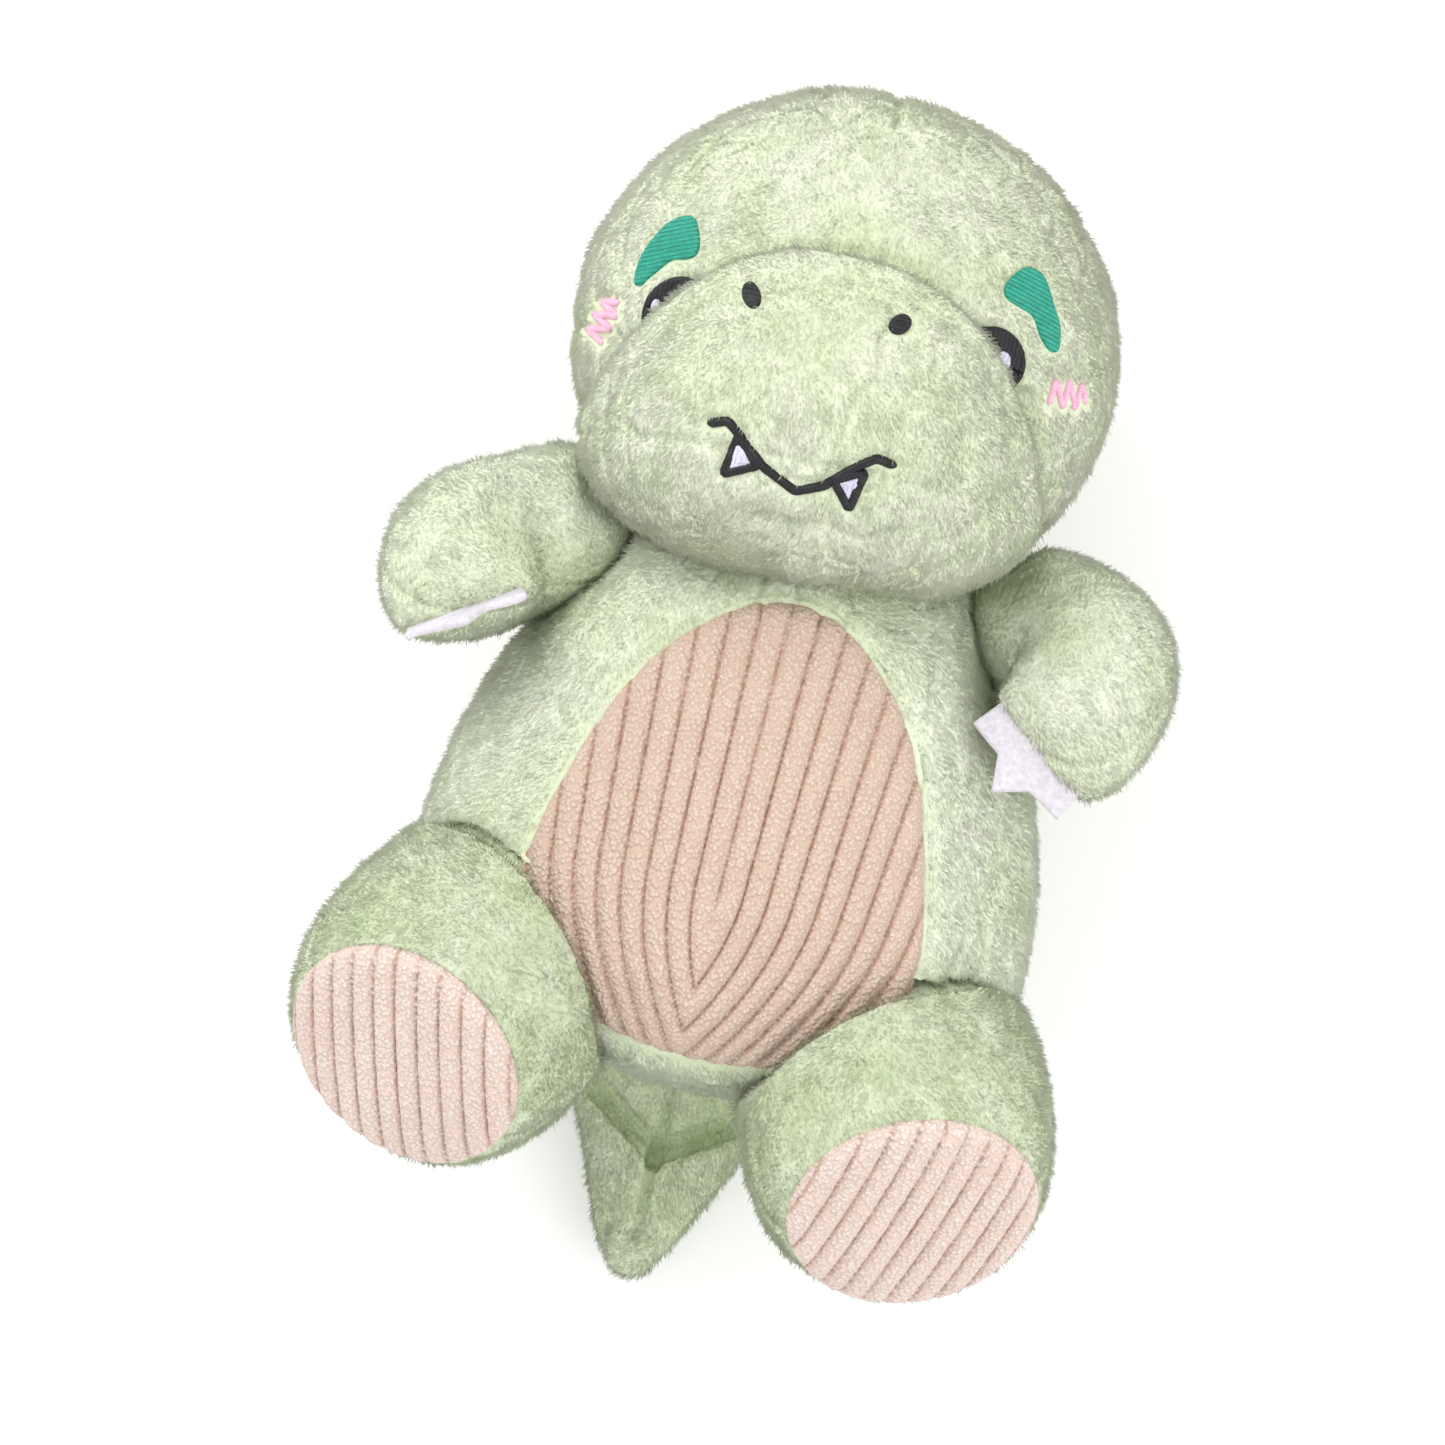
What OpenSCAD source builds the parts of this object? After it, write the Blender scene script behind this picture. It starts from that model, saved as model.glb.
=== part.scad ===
// Stuffed dinosaur, lying on its back: millimetres, +X to one side, +Y towards the head, +Z up.
// The origin is the middle of the flattened back that it rests on.
// Each soft part is a padded core with its fabric panels around it, and every limb has a round
// root that sits in a dish of the body, so that it can swing without pinching.

/* [Body] */
// Width of the body at the hips.
body_width = 132; // [126:1:136]
// Depth of the body, from its flat back to the front of the belly.
body_depth = 96; // [92:1:100]
// Thickness of the fabric with its pile.
fabric = 1.8; // [1.2:0.1:2.4]
// Air between a limb's round root and its dish.
joint_gap = 0.5; // [0.4:0.1:0.8]
// Width of the ribbed belly panel.
belly_width = 86; // [78:1:90]

/* [Head] */
// Width of the head across the cheeks.
head_width = 115; // [110:1:120]
// Height of the head from chin to crown.
head_height = 108; // [104:1:112]
// Width of the muzzle.
muzzle_width = 86; // [80:1:90]
// How far the muzzle stands forward of the middle of the head.
muzzle_reach = 76; // [70:1:80]
// How far the embroidery stands above the fabric.
thread_rise = 0.8; // [0.6:0.1:1.2]

/* [Limbs] */
// Radius of the arm at its thickest.
arm_radius = 17.5; // [16:0.25:18]
// Radius of the leg at its thickest.
leg_radius = 32.5; // [31:0.25:33.5]
// Diameter of the ribbed sole.
sole_diameter = 52; // [48:1:54]
// Length of the tail from its root to the tip.
tail_length = 59; // [54:1:64]
// Claws on each hand.
claw_count = 3; // [2:1:4]
// How far the claws stand out of the hand.
claw_length = 14; // [11:0.5:16]

/* [Hidden] */

LEFT = 0;
RIGHT = 1;
side_sign = [-1, 1];
slice = 0.02;
far = 400;

// Neck ball: the top of the body is part of this sphere, and the head turns on it.
mid_z = 46;
neck_y = 22;
neck_r = 50;
ball_sides = 24;
root_sides = 20;

// Body stations: distance along the body, half width and half depth.
half_w = body_width / 2;
half_d = body_depth - mid_z;
// Stations on the neck ball, as shares of its radius beyond its middle.
neck_shares = [0.36, 0.54, 0.72, 0.88, 0.99];
neck_stations = [for (k = neck_shares)
    [neck_y + neck_r * k, neck_r * sqrt(1 - k * k), neck_r * sqrt(1 - k * k)]];
trunk_stations = [
    [-59, half_w * 0.20, half_d * 0.22], [-55.5, half_w * 0.54, half_d * 0.58],
    [-47, half_w * 0.81, half_d * 0.85], [-34, half_w * 0.96, half_d * 0.965],
    [-19, half_w, half_d], [-2, half_w * 0.965, half_d], [13, half_w * 0.91, half_d * 0.985],
    [25, half_w * 0.84, half_d * 0.96], [33, half_w * 0.775, half_d * 0.945]];
body_stations = concat(trunk_stations, neck_stations);
body_sides = 20;
side_seam_z = 26;

// Head: centre, half sizes and the small sideways lean it lies with.
head_c = [-4, 100, 51];
head_lean = 3.5;
head_half = [head_width / 2, head_height / 2, 53.5];
head_sides = 22;
head_square = 2.05;
crown_seam_z = 47;

// Muzzle: centre on the head and half sizes.
muzzle_c = [-2.5, -14.5, 30];
muzzle_pitch = 17;
muzzle_half = [muzzle_width / 2, 34.5, muzzle_reach - 30];
muzzle_square = 2.5;
muzzle_taper = 0.3;
muzzle_rings = [-30, 0, 20, 38, 55, 72, 90];
chin_seam_y = -15;

// Arms: a bent path from the shoulder to the hand, and the radius along it.
// Each is given for the left arm and the right one, as if both were on the right.
arm_root = [[43, 46, 55], [40, 50, 55]];
arm_bend = [[79, 45, 58], [76, 58, 65]];
arm_end = [[66, 26, 84], [55, 28, 80]];
shoulder_c = [[53.5, 49, 58], [50.5, 53, 58]];
shoulder_r = 16.5;
arm_reach = [0, 20];
arm_to_head = 3.5;
arm_steps = [[0, 0.34], [0.07, 0.74], [0.2, 0.95], [0.36, 1], [0.54, 1], [0.72, 0.99], [0.87, 0.95],
    [0.96, 0.86], [1, 0.76]];
arm_flat = [1, 1, 1, 1, 1, 0.97, 0.8, 0.52, 0.26];
arm_sides = 16;

// Claws: a felt strip sewn into the end seam of each hand.
claw_strip = 25;
claw_sheet = 1.6;
claw_root = 5;
claw_fold = [-30, 6];
claw_span = 110;

// Legs: the hip centre, the sideways and upward aim, and the radius along the leg.
hip_c = [[-43, -41, 62], [41.5, -45.5, 62.4]];
hip_r = 28;
leg_spread = [27, 25];
leg_lift = 50;
leg_swing = [-12, 3, 18];
swing_gap = 0.5;
leg_steps = [[-30, 0.25], [-25, 0.62], [-15, 0.88], [0, 0.985], [15, 1], [30, 0.93]];
sole_y = 41;
sole_r = sole_diameter / 2;
sole_dome = 3;
leg_sides = 20;

// Tail: a wedge from a round root under the seat.
tail_root = [0, -48, 20];
tail_ball = 20;
tail_swing = [0, 17, 33, 50];
tail_steps = [[-19, 0.22, 0.25], [-15, 0.62, 0.66], [-6, 0.92, 0.95], [4, 1, 1], [14, 0.96, 0.98]];
tail_half = [25, 16.5];
tail_sides = 16;

// A closed skin through a row of flat rings: [centre, half sizes, turn].
module loft(rings, sides, square = 2, taper = 0) {
    outline = [for (r = rings) placed(oval(r[1], sides, square, taper), r[0], r[2])];
    for (i = [0 : len(rings) - 2]) {
        hull()
            polyhedron(concat(outline[i], outline[i + 1]),
                [[for (k = [0 : sides - 1]) k], [for (k = [2 * sides - 1 : -1 : sides]) k]]);
    }
}

// Flat points turned about X, then Y, then Z, and moved to their place.
function placed(points, centre, turn) = [for (p = points)
    let (a = [p[0], p[1] * cos(turn[0]), p[1] * sin(turn[0])],
        b = [a[0] * cos(turn[1]) + a[2] * sin(turn[1]), a[1], a[2] * cos(turn[1]) - a[0] * sin(turn[1])])
    centre + [b[0] * cos(turn[2]) - b[1] * sin(turn[2]), b[0] * sin(turn[2]) + b[1] * cos(turn[2]), b[2]]];

function curl(v, square) = sign(v) * pow(abs(v), 2 / square);
// An oval outline, squarer as square grows, and narrower towards +Y by taper.
function oval(half, sides, square, taper = 0) = [for (k = [0 : sides - 1])
    let (a = 360 * (k + 0.5) / sides, up = curl(sin(a), square))
    [half[0] * curl(cos(a), square) * (1 - taper * up), half[1] * up]];

module above(z) {
    translate([-far, -far, z])
        cube([2 * far, 2 * far, far]);
}

module beyond_y(y) {
    translate([-far, y, -far])
        cube([2 * far, far, 2 * far]);
}

module side_of(s, x = 0) {
    translate([s == LEFT ? x - far : x, -far, -far])
        cube([far, 2 * far, 2 * far]);
}

module ball(c, r, sides = ball_sides) {
    translate(c)
        sphere(r, $fn = sides);
}

// The hollow that a ball turns in: its flat facets stay outside the ball.
module hollow(c, r, sides = root_sides) {
    translate(c)
        sphere((r + joint_gap) / pow(cos(180 / sides), 2), $fn = sides);
}

// --- Body ---
// grow moves the whole skin outwards, or inwards when it is negative.
module body_form(grow) {
    intersection() {
        above(-grow);
        loft([for (s = body_stations)
            [[0, s[0] + (s[0] > 0 ? grow * pow(s[0] / 72, 3) : grow * pow(s[0] / -59, 3) * -1), mid_z],
             [max(s[1] + grow, 0.5), max(s[2] + grow, 0.5)], [90, 0, 0]]], body_sides);
    }
}

module limb_dishes() {
    for (s = [LEFT, RIGHT]) {
        hollow(shoulder_at(s), shoulder_r);
        hollow(hip_c[s], hip_r);
    }
    hollow(tail_root, tail_ball);
}

function mirrored(p, s) = [side_sign[s] * p[0], p[1], p[2]];
function shoulder_at(s) = mirrored(shoulder_c[s], s);

module body_skin() {
    difference() {
        body_form(0);
        body_form(-fabric);
        limb_dishes();
    }
}

// Outline of the ribbed belly, seen from the front.
belly_half = [[9, 43], [18, 36.5], [26, 28.5], [32, 18.5], [37, 5], [41, -10], [43, -24], [40, -37],
    [28, -47], [10, -52]];
belly_last = len(belly_half) - 1;
belly_outline = concat([[0, 45]], belly_sized(1, [0 : belly_last]), belly_sized(-1, [belly_last : -1 : 0]));
function belly_sized(side, order) = [for (i = order)
    [side * belly_half[i][0] * belly_width / 86, belly_half[i][1]]];

module belly_cut() {
    translate([0, 0, mid_z])
        linear_extrude(far)
            polygon(belly_outline);
}

module torso_stuffing() {
    color("white")
        difference() {
            body_form(-fabric);
            limb_dishes();
        }
}

module belly_panel() {
    color("tan")
        intersection() {
            body_skin();
            belly_cut();
        }
}

module side_panel(s) {
    color("palegreen")
        difference() {
            intersection() {
                body_skin();
                above(side_seam_z);
                side_of(s);
            }
            belly_cut();
        }
}

module side_panel_left() {
    side_panel(LEFT);
}

module side_panel_right() {
    side_panel(RIGHT);
}

module back_panel() {
    color("palegreen")
        difference() {
            body_skin();
            above(side_seam_z);
        }
}

// --- Head ---
head_rings = [-90, -70, -50, -31, -12, 7, 26, 44, 60, 76, 90];

module cranium(grow) {
    translate(head_c)
        rotate([0, 0, head_lean])
            loft([for (a = head_rings)
                [[0, (head_half[1] + grow) * sin(a), 0],
                 [(head_half[0] + grow) * cos(a) + slice, (head_half[2] + grow) * cos(a) + slice],
                 [90, 0, 0]]], head_sides, head_square);
}

module muzzle(grow) {
    translate(head_c)
        rotate([0, 0, head_lean])
            translate(muzzle_c)
                rotate([muzzle_pitch, 0, 0])
                    loft([for (a = muzzle_rings)
                        [[0, 0, (muzzle_half[2] + grow) * sin(a)],
                         [(muzzle_half[0] + grow) * curl(cos(a), 2.3) + slice,
                          (muzzle_half[1] + grow) * curl(cos(a), 2.3) + slice],
                         [0, 0, 0]]], head_sides, muzzle_square, muzzle_taper);
}

module neck_dish() {
    hollow([0, neck_y, mid_z], neck_r, ball_sides);
}

module head_place() {
    translate(head_c)
        rotate([0, 0, head_lean])
            children();
}

module head_stuffing() {
    color("white")
        difference() {
            intersection() {
                union() {
                    cranium(-fabric);
                    muzzle(-fabric);
                }
                above(fabric);
            }
            neck_dish();
        }
}

module cranium_skin() {
    difference() {
        intersection() {
            cranium(0);
            above(0);
        }
        intersection() {
            cranium(-fabric);
            above(fabric);
        }
        muzzle(-fabric);
        neck_dish();
    }
}

module face_panel() {
    color("palegreen")
        intersection() {
            cranium_skin();
            above(crown_seam_z);
        }
}

module head_back(s) {
    color("palegreen")
        intersection() {
            difference() {
                cranium_skin();
                above(crown_seam_z);
            }
            head_place()
                side_of(s);
        }
}

module head_back_left() {
    head_back(LEFT);
}

module head_back_right() {
    head_back(RIGHT);
}

module muzzle_skin() {
    difference() {
        muzzle(0);
        muzzle(-fabric);
        cranium(0);
        neck_dish();
    }
}

module chin_side() {
    head_place()
        translate([0, muzzle_c[1] + chin_seam_y - far, 0])
            translate([-far, 0, -far])
                cube([2 * far, far, 2 * far]);
}

module muzzle_panel() {
    color("palegreen")
        difference() {
            muzzle_skin();
            chin_side();
        }
}

module chin_panel() {
    color("palegreen")
        intersection() {
            muzzle_skin();
            chin_side();
        }
}

// Embroidery: a raised patch of thread with a given outline, on the face or on the muzzle.
module on_face() {
    difference() {
        intersection() {
            cranium(thread_rise);
            above(mid_z);
            children();
        }
        cranium(0);
        muzzle(0);
    }
}

module on_muzzle() {
    difference() {
        intersection() {
            muzzle(thread_rise);
            above(head_c[2]);
            children();
        }
        muzzle(0);
        cranium(0);
    }
}

module patch(points) {
    translate([0, 0, mid_z])
        linear_extrude(far)
            polygon(points);
}

module spot(c, half, turn) {
    translate([c[0], c[1], mid_z])
        rotate([0, 0, turn])
            linear_extrude(far)
                polygon(oval(half, 16, 2));
}

module stroke(points, width) {
    translate([0, 0, mid_z])
        linear_extrude(far)
            for (i = [0 : len(points) - 2])
                hull() {
                    translate(points[i])
                        circle(width / 2, $fn = 6);
                    translate(points[i + 1])
                        circle(width / 2, $fn = 6);
                }
}

eye_c = [[-39, 96.5], [26.2, 103]];
eye_half = [[7.5, 8], [7, 7.6]];
eye_turn = [-14, -6];
light_c = [[-44.2, 97.5], [28.6, 102.6]];
light_half = [1.3, 1.9];

module eye(s) {
    color("black")
        difference() {
            on_face()
                spot(eye_c[s], eye_half[s], eye_turn[s]);
            eye_light_cut(s);
        }
}

module eye_light_cut(s) {
    spot(light_c[s], light_half, 0);
}

module eye_left() {
    eye(LEFT);
}

module eye_right() {
    eye(RIGHT);
}

module eye_light(s) {
    color("white")
        on_face()
            eye_light_cut(s);
}

module eye_light_left() {
    eye_light(LEFT);
}

module eye_light_right() {
    eye_light(RIGHT);
}

brow_shape = [[[-5.6, -7.3], [-5.6, -2.2], [-3.3, 3.6], [-0.6, 6.8], [2.9, 7.8], [5.1, 4.1], [5.6, 0.7],
        [3.9, -1], [0.8, -1.8], [-2.6, -5.7], [-4.2, -7.8]],
    [[-3.2, 7.6], [0.4, 6.7], [3.9, 1.5], [6.1, -2.2], [7, -6.6], [5.4, -7.6], [2.8, -5.6], [0.2, -2],
        [-2.8, -1.1], [-6, -0.1], [-7, 2.2], [-5.7, 5.1]]];
brow_c = [[-43.6, 107], [30.6, 114.3]];

module brow(s) {
    color("teal")
        on_face()
            translate([brow_c[s][0], brow_c[s][1], 0])
                patch(brow_shape[s]);
}

module brow_left() {
    brow(LEFT);
}

module brow_right() {
    brow(RIGHT);
}

blush_c = [[-54, 91.3], [42, 99.6]];
blush_turn = [75, 15];
blush_shape = [[-5, -2.5], [-1, 2.5], [1, -2.5], [5, 2.5]];
blush_width = 1.8;

module blush(s) {
    color("pink")
        on_face()
            translate([blush_c[s][0], blush_c[s][1], 0])
                rotate([0, 0, blush_turn[s]])
                    stroke(blush_shape, blush_width);
}

module blush_left() {
    blush(LEFT);
}

module blush_right() {
    blush(RIGHT);
}

nostril_c = [[-24.9, 99.9], [4.7, 101.3]];
nostril_half = [2, 2.6];

module nostril(s) {
    color("black")
        on_muzzle()
            spot(nostril_c[s], nostril_half, 30 * side_sign[s]);
}

module nostril_left() {
    nostril(LEFT);
}

module nostril_right() {
    nostril(RIGHT);
}

mouth_path = [[-27, 73], [-23.2, 74.4], [-20, 72], [-14.5, 67.5], [-7, 64.4], [-2, 66.7], [4, 72.4],
    [6.9, 74.5], [11, 74]];
mouth_width = 1.9;
fang_shapes = [[[-19.9, 70.6], [-16.4, 67], [-21, 65]], [[0, 68.9], [4.2, 70.4], [3, 64.8]]];

module fang_shape_cut() {
    for (f = fang_shapes)
        patch(f);
}

module mouth_line() {
    color("black")
        difference() {
            on_muzzle()
                union() {
                    stroke(mouth_path, mouth_width);
                    for (f = fang_shapes)
                        stroke([f[0], f[1], f[2], f[0]], mouth_width);
                }
            fang_shape_cut();
        }
}

module fangs() {
    color("white")
        on_muzzle()
            fang_shape_cut();
}

// --- Arms ---
function bend(t, a, b, c) = pow(1 - t, 2) * a + 2 * t * (1 - t) * b + pow(t, 2) * c;
function aim(d) = [0, acos(d[2] / norm(d)), atan2(d[1], d[0])];
function arm_at(s, t) = bend(t, arm_root[s], arm_bend[s], arm_end[s]);
function arm_dir(s, t) = (1 - t) * (arm_bend[s] - arm_root[s]) + t * (arm_end[s] - arm_bend[s]);

module arm_form(s, grow) {
    ball(shoulder_at(s), shoulder_r + grow, arm_sides);
    mirror([s == LEFT ? 1 : 0, 0, 0])
        loft([for (i = [0 : len(arm_steps) - 1]) arm_ring(s, i, grow)], arm_sides);
}

function arm_ring(s, i, grow) =
    let (t = arm_steps[i][0] + (i == 0 ? -grow * 0.012 : i == len(arm_steps) - 1 ? grow * 0.016 : 0),
        r = arm_radius * arm_steps[i][1])
    [arm_at(s, t), [max(r * arm_flat[i] + grow, 0.6), max(r + grow, 0.6)], aim(arm_dir(s, t))];

// The space that the body takes up around a limb's round root, over the limb's whole swing.
module body_around(c, r, swing) {
    difference() {
        translate(c)
            for (a = swing)
                rotate([-a, 0, 0])
                    translate(-c)
                        body_form(joint_gap + swing_gap);
        ball(c, r);
    }
}

module arm_trimmed(s, grow) {
    difference() {
        arm_form(s, grow);
        body_around(shoulder_at(s), shoulder_r, -arm_reach);
        head_clearance();
        claw_sheet_form(s, 0);
    }
}

module head_clearance() {
    cranium(arm_to_head);
    muzzle(arm_to_head);
}

module arm_front_side(s) {
    mirror([s == LEFT ? 1 : 0, 0, 0])
        translate(arm_end[s])
            rotate(aim(cross(arm_bend[s] - arm_root[s], arm_end[s] - arm_bend[s]) * -1))
                translate([-far, -far, 0])
                    cube([2 * far, 2 * far, far]);
}

module arm_stuffing(s) {
    color("white")
        arm_trimmed(s, -fabric);
}

module arm_skin(s) {
    difference() {
        arm_trimmed(s, 0);
        arm_form(s, -fabric);
    }
}

module arm_front(s) {
    color("palegreen")
        intersection() {
            arm_skin(s);
            arm_front_side(s);
        }
}

module arm_back(s) {
    color("palegreen")
        difference() {
            arm_skin(s);
            arm_front_side(s);
        }
}

module arm_stuffing_left() {
    arm_stuffing(LEFT);
}

module arm_front_left() {
    arm_front(LEFT);
}

module arm_back_left() {
    arm_back(LEFT);
}

module arm_stuffing_right() {
    arm_stuffing(RIGHT);
}

module arm_front_right() {
    arm_front(RIGHT);
}

module arm_back_right() {
    arm_back(RIGHT);
}

// The claws fan out of the hand: tip k and the valley after it, as points of the felt.
function claw_angle(k) = claw_span * (k / (claw_count - 1) - 0.5);
function claw_point(angle, reach) = [reach * sin(angle), reach * cos(angle) - claw_base];
claw_base = 2;
claw_points = [for (k = [0 : 0.5 : claw_count - 1])
    claw_point(claw_angle(k), k == floor(k) ? claw_length + claw_base : claw_length * 0.7)];

module claw_sheet_form(s, trim) {
    mirror([s == LEFT ? 1 : 0, 0, 0])
        translate(arm_end[s])
            rotate(aim(arm_end[s] - arm_bend[s]))
                rotate([0, claw_fold[s], 0])
                    rotate([90, 0, 90])
                        linear_extrude(claw_sheet, center = true)
                            polygon(concat([[claw_strip / 2, -claw_root], [-claw_strip / 2, -claw_root]],
                                [[-claw_strip / 2, 0]], claw_points, [[claw_strip / 2, 0]]));
}

module claws_left() {
    color("lavender")
        claw_sheet_form(LEFT, 0);
}

module claws_right() {
    color("lavender")
        claw_sheet_form(RIGHT, 0);
}

// --- Legs ---
module leg_place(s) {
    translate(hip_c[s])
        rotate([0, 0, side_sign[s] * leg_spread[s]])
            rotate([90 - leg_lift, 0, 0])
                children();
}

function leg_rings(grow) = concat(
    [for (p = leg_steps) [[0, 0, p[0] - (p[0] < 0 ? grow : 0)],
        max(leg_radius * p[1] + grow, 0.5) * [1, 1], [0, 0, 0]]],
    [[[0, 0, sole_y], (sole_r + grow) * [1, 1], [0, 0, 0]]]);

function sole_rings(grow) = [for (a = [0, 30, 60, 90])
    [[0, 0, sole_y + (sole_dome + grow) * sin(a)],
     max((sole_r + grow) * cos(a), 1) * [1, 1], [0, 0, 0]]];

module leg_form(s, grow) {
    leg_place(s)
        loft(leg_rings(grow), leg_sides);
}

module sole_form(s, grow) {
    leg_place(s)
        loft(sole_rings(grow), leg_sides);
}

module leg_trimmed(s, grow) {
    difference() {
        leg_form(s, grow);
        body_around(hip_c[s], hip_r, leg_swing);
    }
}

module leg_upper_side(s) {
    leg_place(s)
        beyond_y(0);
}

module leg_stuffing(s) {
    color("white")
        difference() {
            leg_place(s)
                loft(concat(leg_rings(-fabric), [for (k = [1 : 3]) sole_rings(-fabric)[k]]), leg_sides);
            body_around(hip_c[s], hip_r, leg_swing);
        }
}

module leg_skin(s) {
    difference() {
        leg_trimmed(s, 0);
        leg_form(s, -fabric);
    }
}

module leg_upper(s) {
    color("palegreen")
        intersection() {
            leg_skin(s);
            leg_upper_side(s);
        }
}

module leg_under(s) {
    color("palegreen")
        difference() {
            leg_skin(s);
            leg_upper_side(s);
        }
}

module sole(s) {
    color("tan")
        difference() {
            sole_form(s, 0);
            sole_form(s, -fabric);
        }
}

module leg_stuffing_left() {
    leg_stuffing(LEFT);
}

module leg_upper_left() {
    leg_upper(LEFT);
}

module leg_under_left() {
    leg_under(LEFT);
}

module sole_left() {
    sole(LEFT);
}

module leg_stuffing_right() {
    leg_stuffing(RIGHT);
}

module leg_upper_right() {
    leg_upper(RIGHT);
}

module leg_under_right() {
    leg_under(RIGHT);
}

module sole_right() {
    sole(RIGHT);
}

// --- Tail ---
tail_rings = concat(tail_steps, [for (k = [1 : 5])
    let (q = k / 5)
    [14 + (tail_length - 14) * q, 0.96 - 0.72 * q - 0.10 * pow(q, 4), 0.98 - 0.68 * q - 0.12 * pow(q, 4)]]);

module tail_form(grow) {
    intersection() {
        translate(tail_root)
            loft([for (i = [0 : len(tail_rings) - 1])
                let (p = tail_rings[i])
                [[0, -p[0] + (i == 0 ? grow : i == len(tail_rings) - 1 ? -grow : 0),
                  -(tail_root[2] - tail_half[1]) * min(max(p[0] / 14, 0), 1)
                  - (p[0] > 14 ? (p[0] - 14) * 0.16 : 0)],
                 [max(tail_half[0] * p[1] + grow, 0.5), max(tail_half[1] * p[2] + grow, 0.5)],
                 [90, 0, 0]]], tail_sides);
        above(-grow);
    }
}

module tail_trim() {
    body_around(tail_root, tail_ball, tail_swing);
}

module tail_stuffing() {
    color("white")
        difference() {
            tail_form(-fabric);
            tail_trim();
        }
}

module tail_panel(s) {
    color("palegreen")
        intersection() {
            difference() {
                tail_form(0);
                tail_form(-fabric);
                tail_trim();
            }
            side_of(s);
        }
}

module tail_panel_left() {
    tail_panel(LEFT);
}

module tail_panel_right() {
    tail_panel(RIGHT);
}

torso_stuffing();
belly_panel();
side_panel_left();
side_panel_right();
back_panel();
head_stuffing();
face_panel();
head_back_left();
head_back_right();
muzzle_panel();
chin_panel();
eye_left();
eye_right();
eye_light_left();
eye_light_right();
brow_left();
brow_right();
blush_left();
blush_right();
nostril_left();
nostril_right();
mouth_line();
fangs();
arm_stuffing_left();
arm_front_left();
arm_back_left();
claws_left();
arm_stuffing_right();
arm_front_right();
arm_back_right();
claws_right();
leg_stuffing_left();
leg_upper_left();
leg_under_left();
sole_left();
leg_stuffing_right();
leg_upper_right();
leg_under_right();
sole_right();
tail_stuffing();
tail_panel_left();
tail_panel_right();
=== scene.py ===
import math
import bpy
import numpy as np
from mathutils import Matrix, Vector
from mathutils.bvhtree import BVHTree


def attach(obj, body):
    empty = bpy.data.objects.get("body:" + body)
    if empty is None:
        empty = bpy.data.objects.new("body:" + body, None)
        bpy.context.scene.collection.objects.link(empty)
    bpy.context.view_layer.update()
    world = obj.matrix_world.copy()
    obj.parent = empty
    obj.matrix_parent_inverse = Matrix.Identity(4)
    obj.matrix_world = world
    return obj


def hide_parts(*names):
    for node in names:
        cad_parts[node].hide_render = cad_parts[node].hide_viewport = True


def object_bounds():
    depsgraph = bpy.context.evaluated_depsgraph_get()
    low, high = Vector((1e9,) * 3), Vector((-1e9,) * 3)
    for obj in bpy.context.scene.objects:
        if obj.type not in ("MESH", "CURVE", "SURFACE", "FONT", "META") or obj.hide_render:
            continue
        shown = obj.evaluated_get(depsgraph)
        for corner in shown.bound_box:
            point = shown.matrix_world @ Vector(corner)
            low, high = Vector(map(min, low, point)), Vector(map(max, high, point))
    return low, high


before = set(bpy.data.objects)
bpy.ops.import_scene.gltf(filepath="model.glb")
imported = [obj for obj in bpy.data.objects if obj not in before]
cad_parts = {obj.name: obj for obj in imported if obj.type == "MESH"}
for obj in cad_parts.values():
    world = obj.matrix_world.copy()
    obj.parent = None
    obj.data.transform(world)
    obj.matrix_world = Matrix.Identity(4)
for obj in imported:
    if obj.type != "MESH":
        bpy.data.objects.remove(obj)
cad_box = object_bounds()

# All making is in millimetres, in the CAD frame: +X to one side, +Y to the head, +Z up.
# Points become metres where they are written to a mesh or to curves.
MM = 0.001
# Air between a limb's round root and its dish.
GAP = 0.5
LEFT, RIGHT = 0, 1
SIDE = (-1.0, 1.0)
SIDE_NAME = ("left", "right")


# --- objects and shader nodes
def link_object(name, data):
    made = bpy.data.objects.new(name, data)
    bpy.context.scene.collection.objects.link(made)
    return made


def set_sockets(tree, made, values):
    """Sets a node's sockets: another socket is linked, anything else is written as a constant."""
    for key, value in values.items():
        socket = made.inputs[key]
        if isinstance(value, bpy.types.NodeSocket):
            tree.links.new(value, socket)
        else:
            socket.default_value = value


def node(tree, kind, values=None, **settings):
    """A shader node; values go to its sockets, settings to the node itself."""
    made = tree.nodes.new("ShaderNode" + kind)
    for key, value in settings.items():
        setattr(made, key, value)
    set_sockets(tree, made, values or {})
    return made


def times(tree, a, b):
    return node(tree, "Math", {0: a, 1: b}, operation="MULTIPLY").outputs[0]


# --- camera, light, floor
PICTURE_TURN = math.radians(14.5)
CAMERA_AT = (-0.00945, 0.017, 0.960)
CAMERA_LENS, CAMERA_SENSOR = 106.8, 36.0
LIGHTS_AIM_AT = (0.0, 0.02, 0.04)
WHITE = (1, 1, 1, 1)
SKY = 0.96
FLOOR_HALF, FLOOR_BELOW, FLOOR_GREY, FLOOR_GLOW = 3.0, 0.0004, 0.86, 0.22

camera_data = bpy.data.cameras.new("camera")
camera_data.lens = CAMERA_LENS
camera_data.sensor_width = CAMERA_SENSOR
camera = link_object("camera", camera_data)
camera.location = CAMERA_AT
camera.rotation_euler = (0.0, 0.0, PICTURE_TURN)
bpy.context.scene.camera = camera
bpy.context.scene.view_settings.view_transform = "Standard"


def area_light(name, at, size, power):
    data = bpy.data.lights.new(name, "AREA")
    data.shape = "DISK"
    data.size = size
    data.energy = power
    lamp = link_object(name, data)
    lamp.location = at
    lamp.rotation_euler = (Vector(LIGHTS_AIM_AT) - Vector(at)).to_track_quat("-Z", "Y").to_euler()


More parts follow.
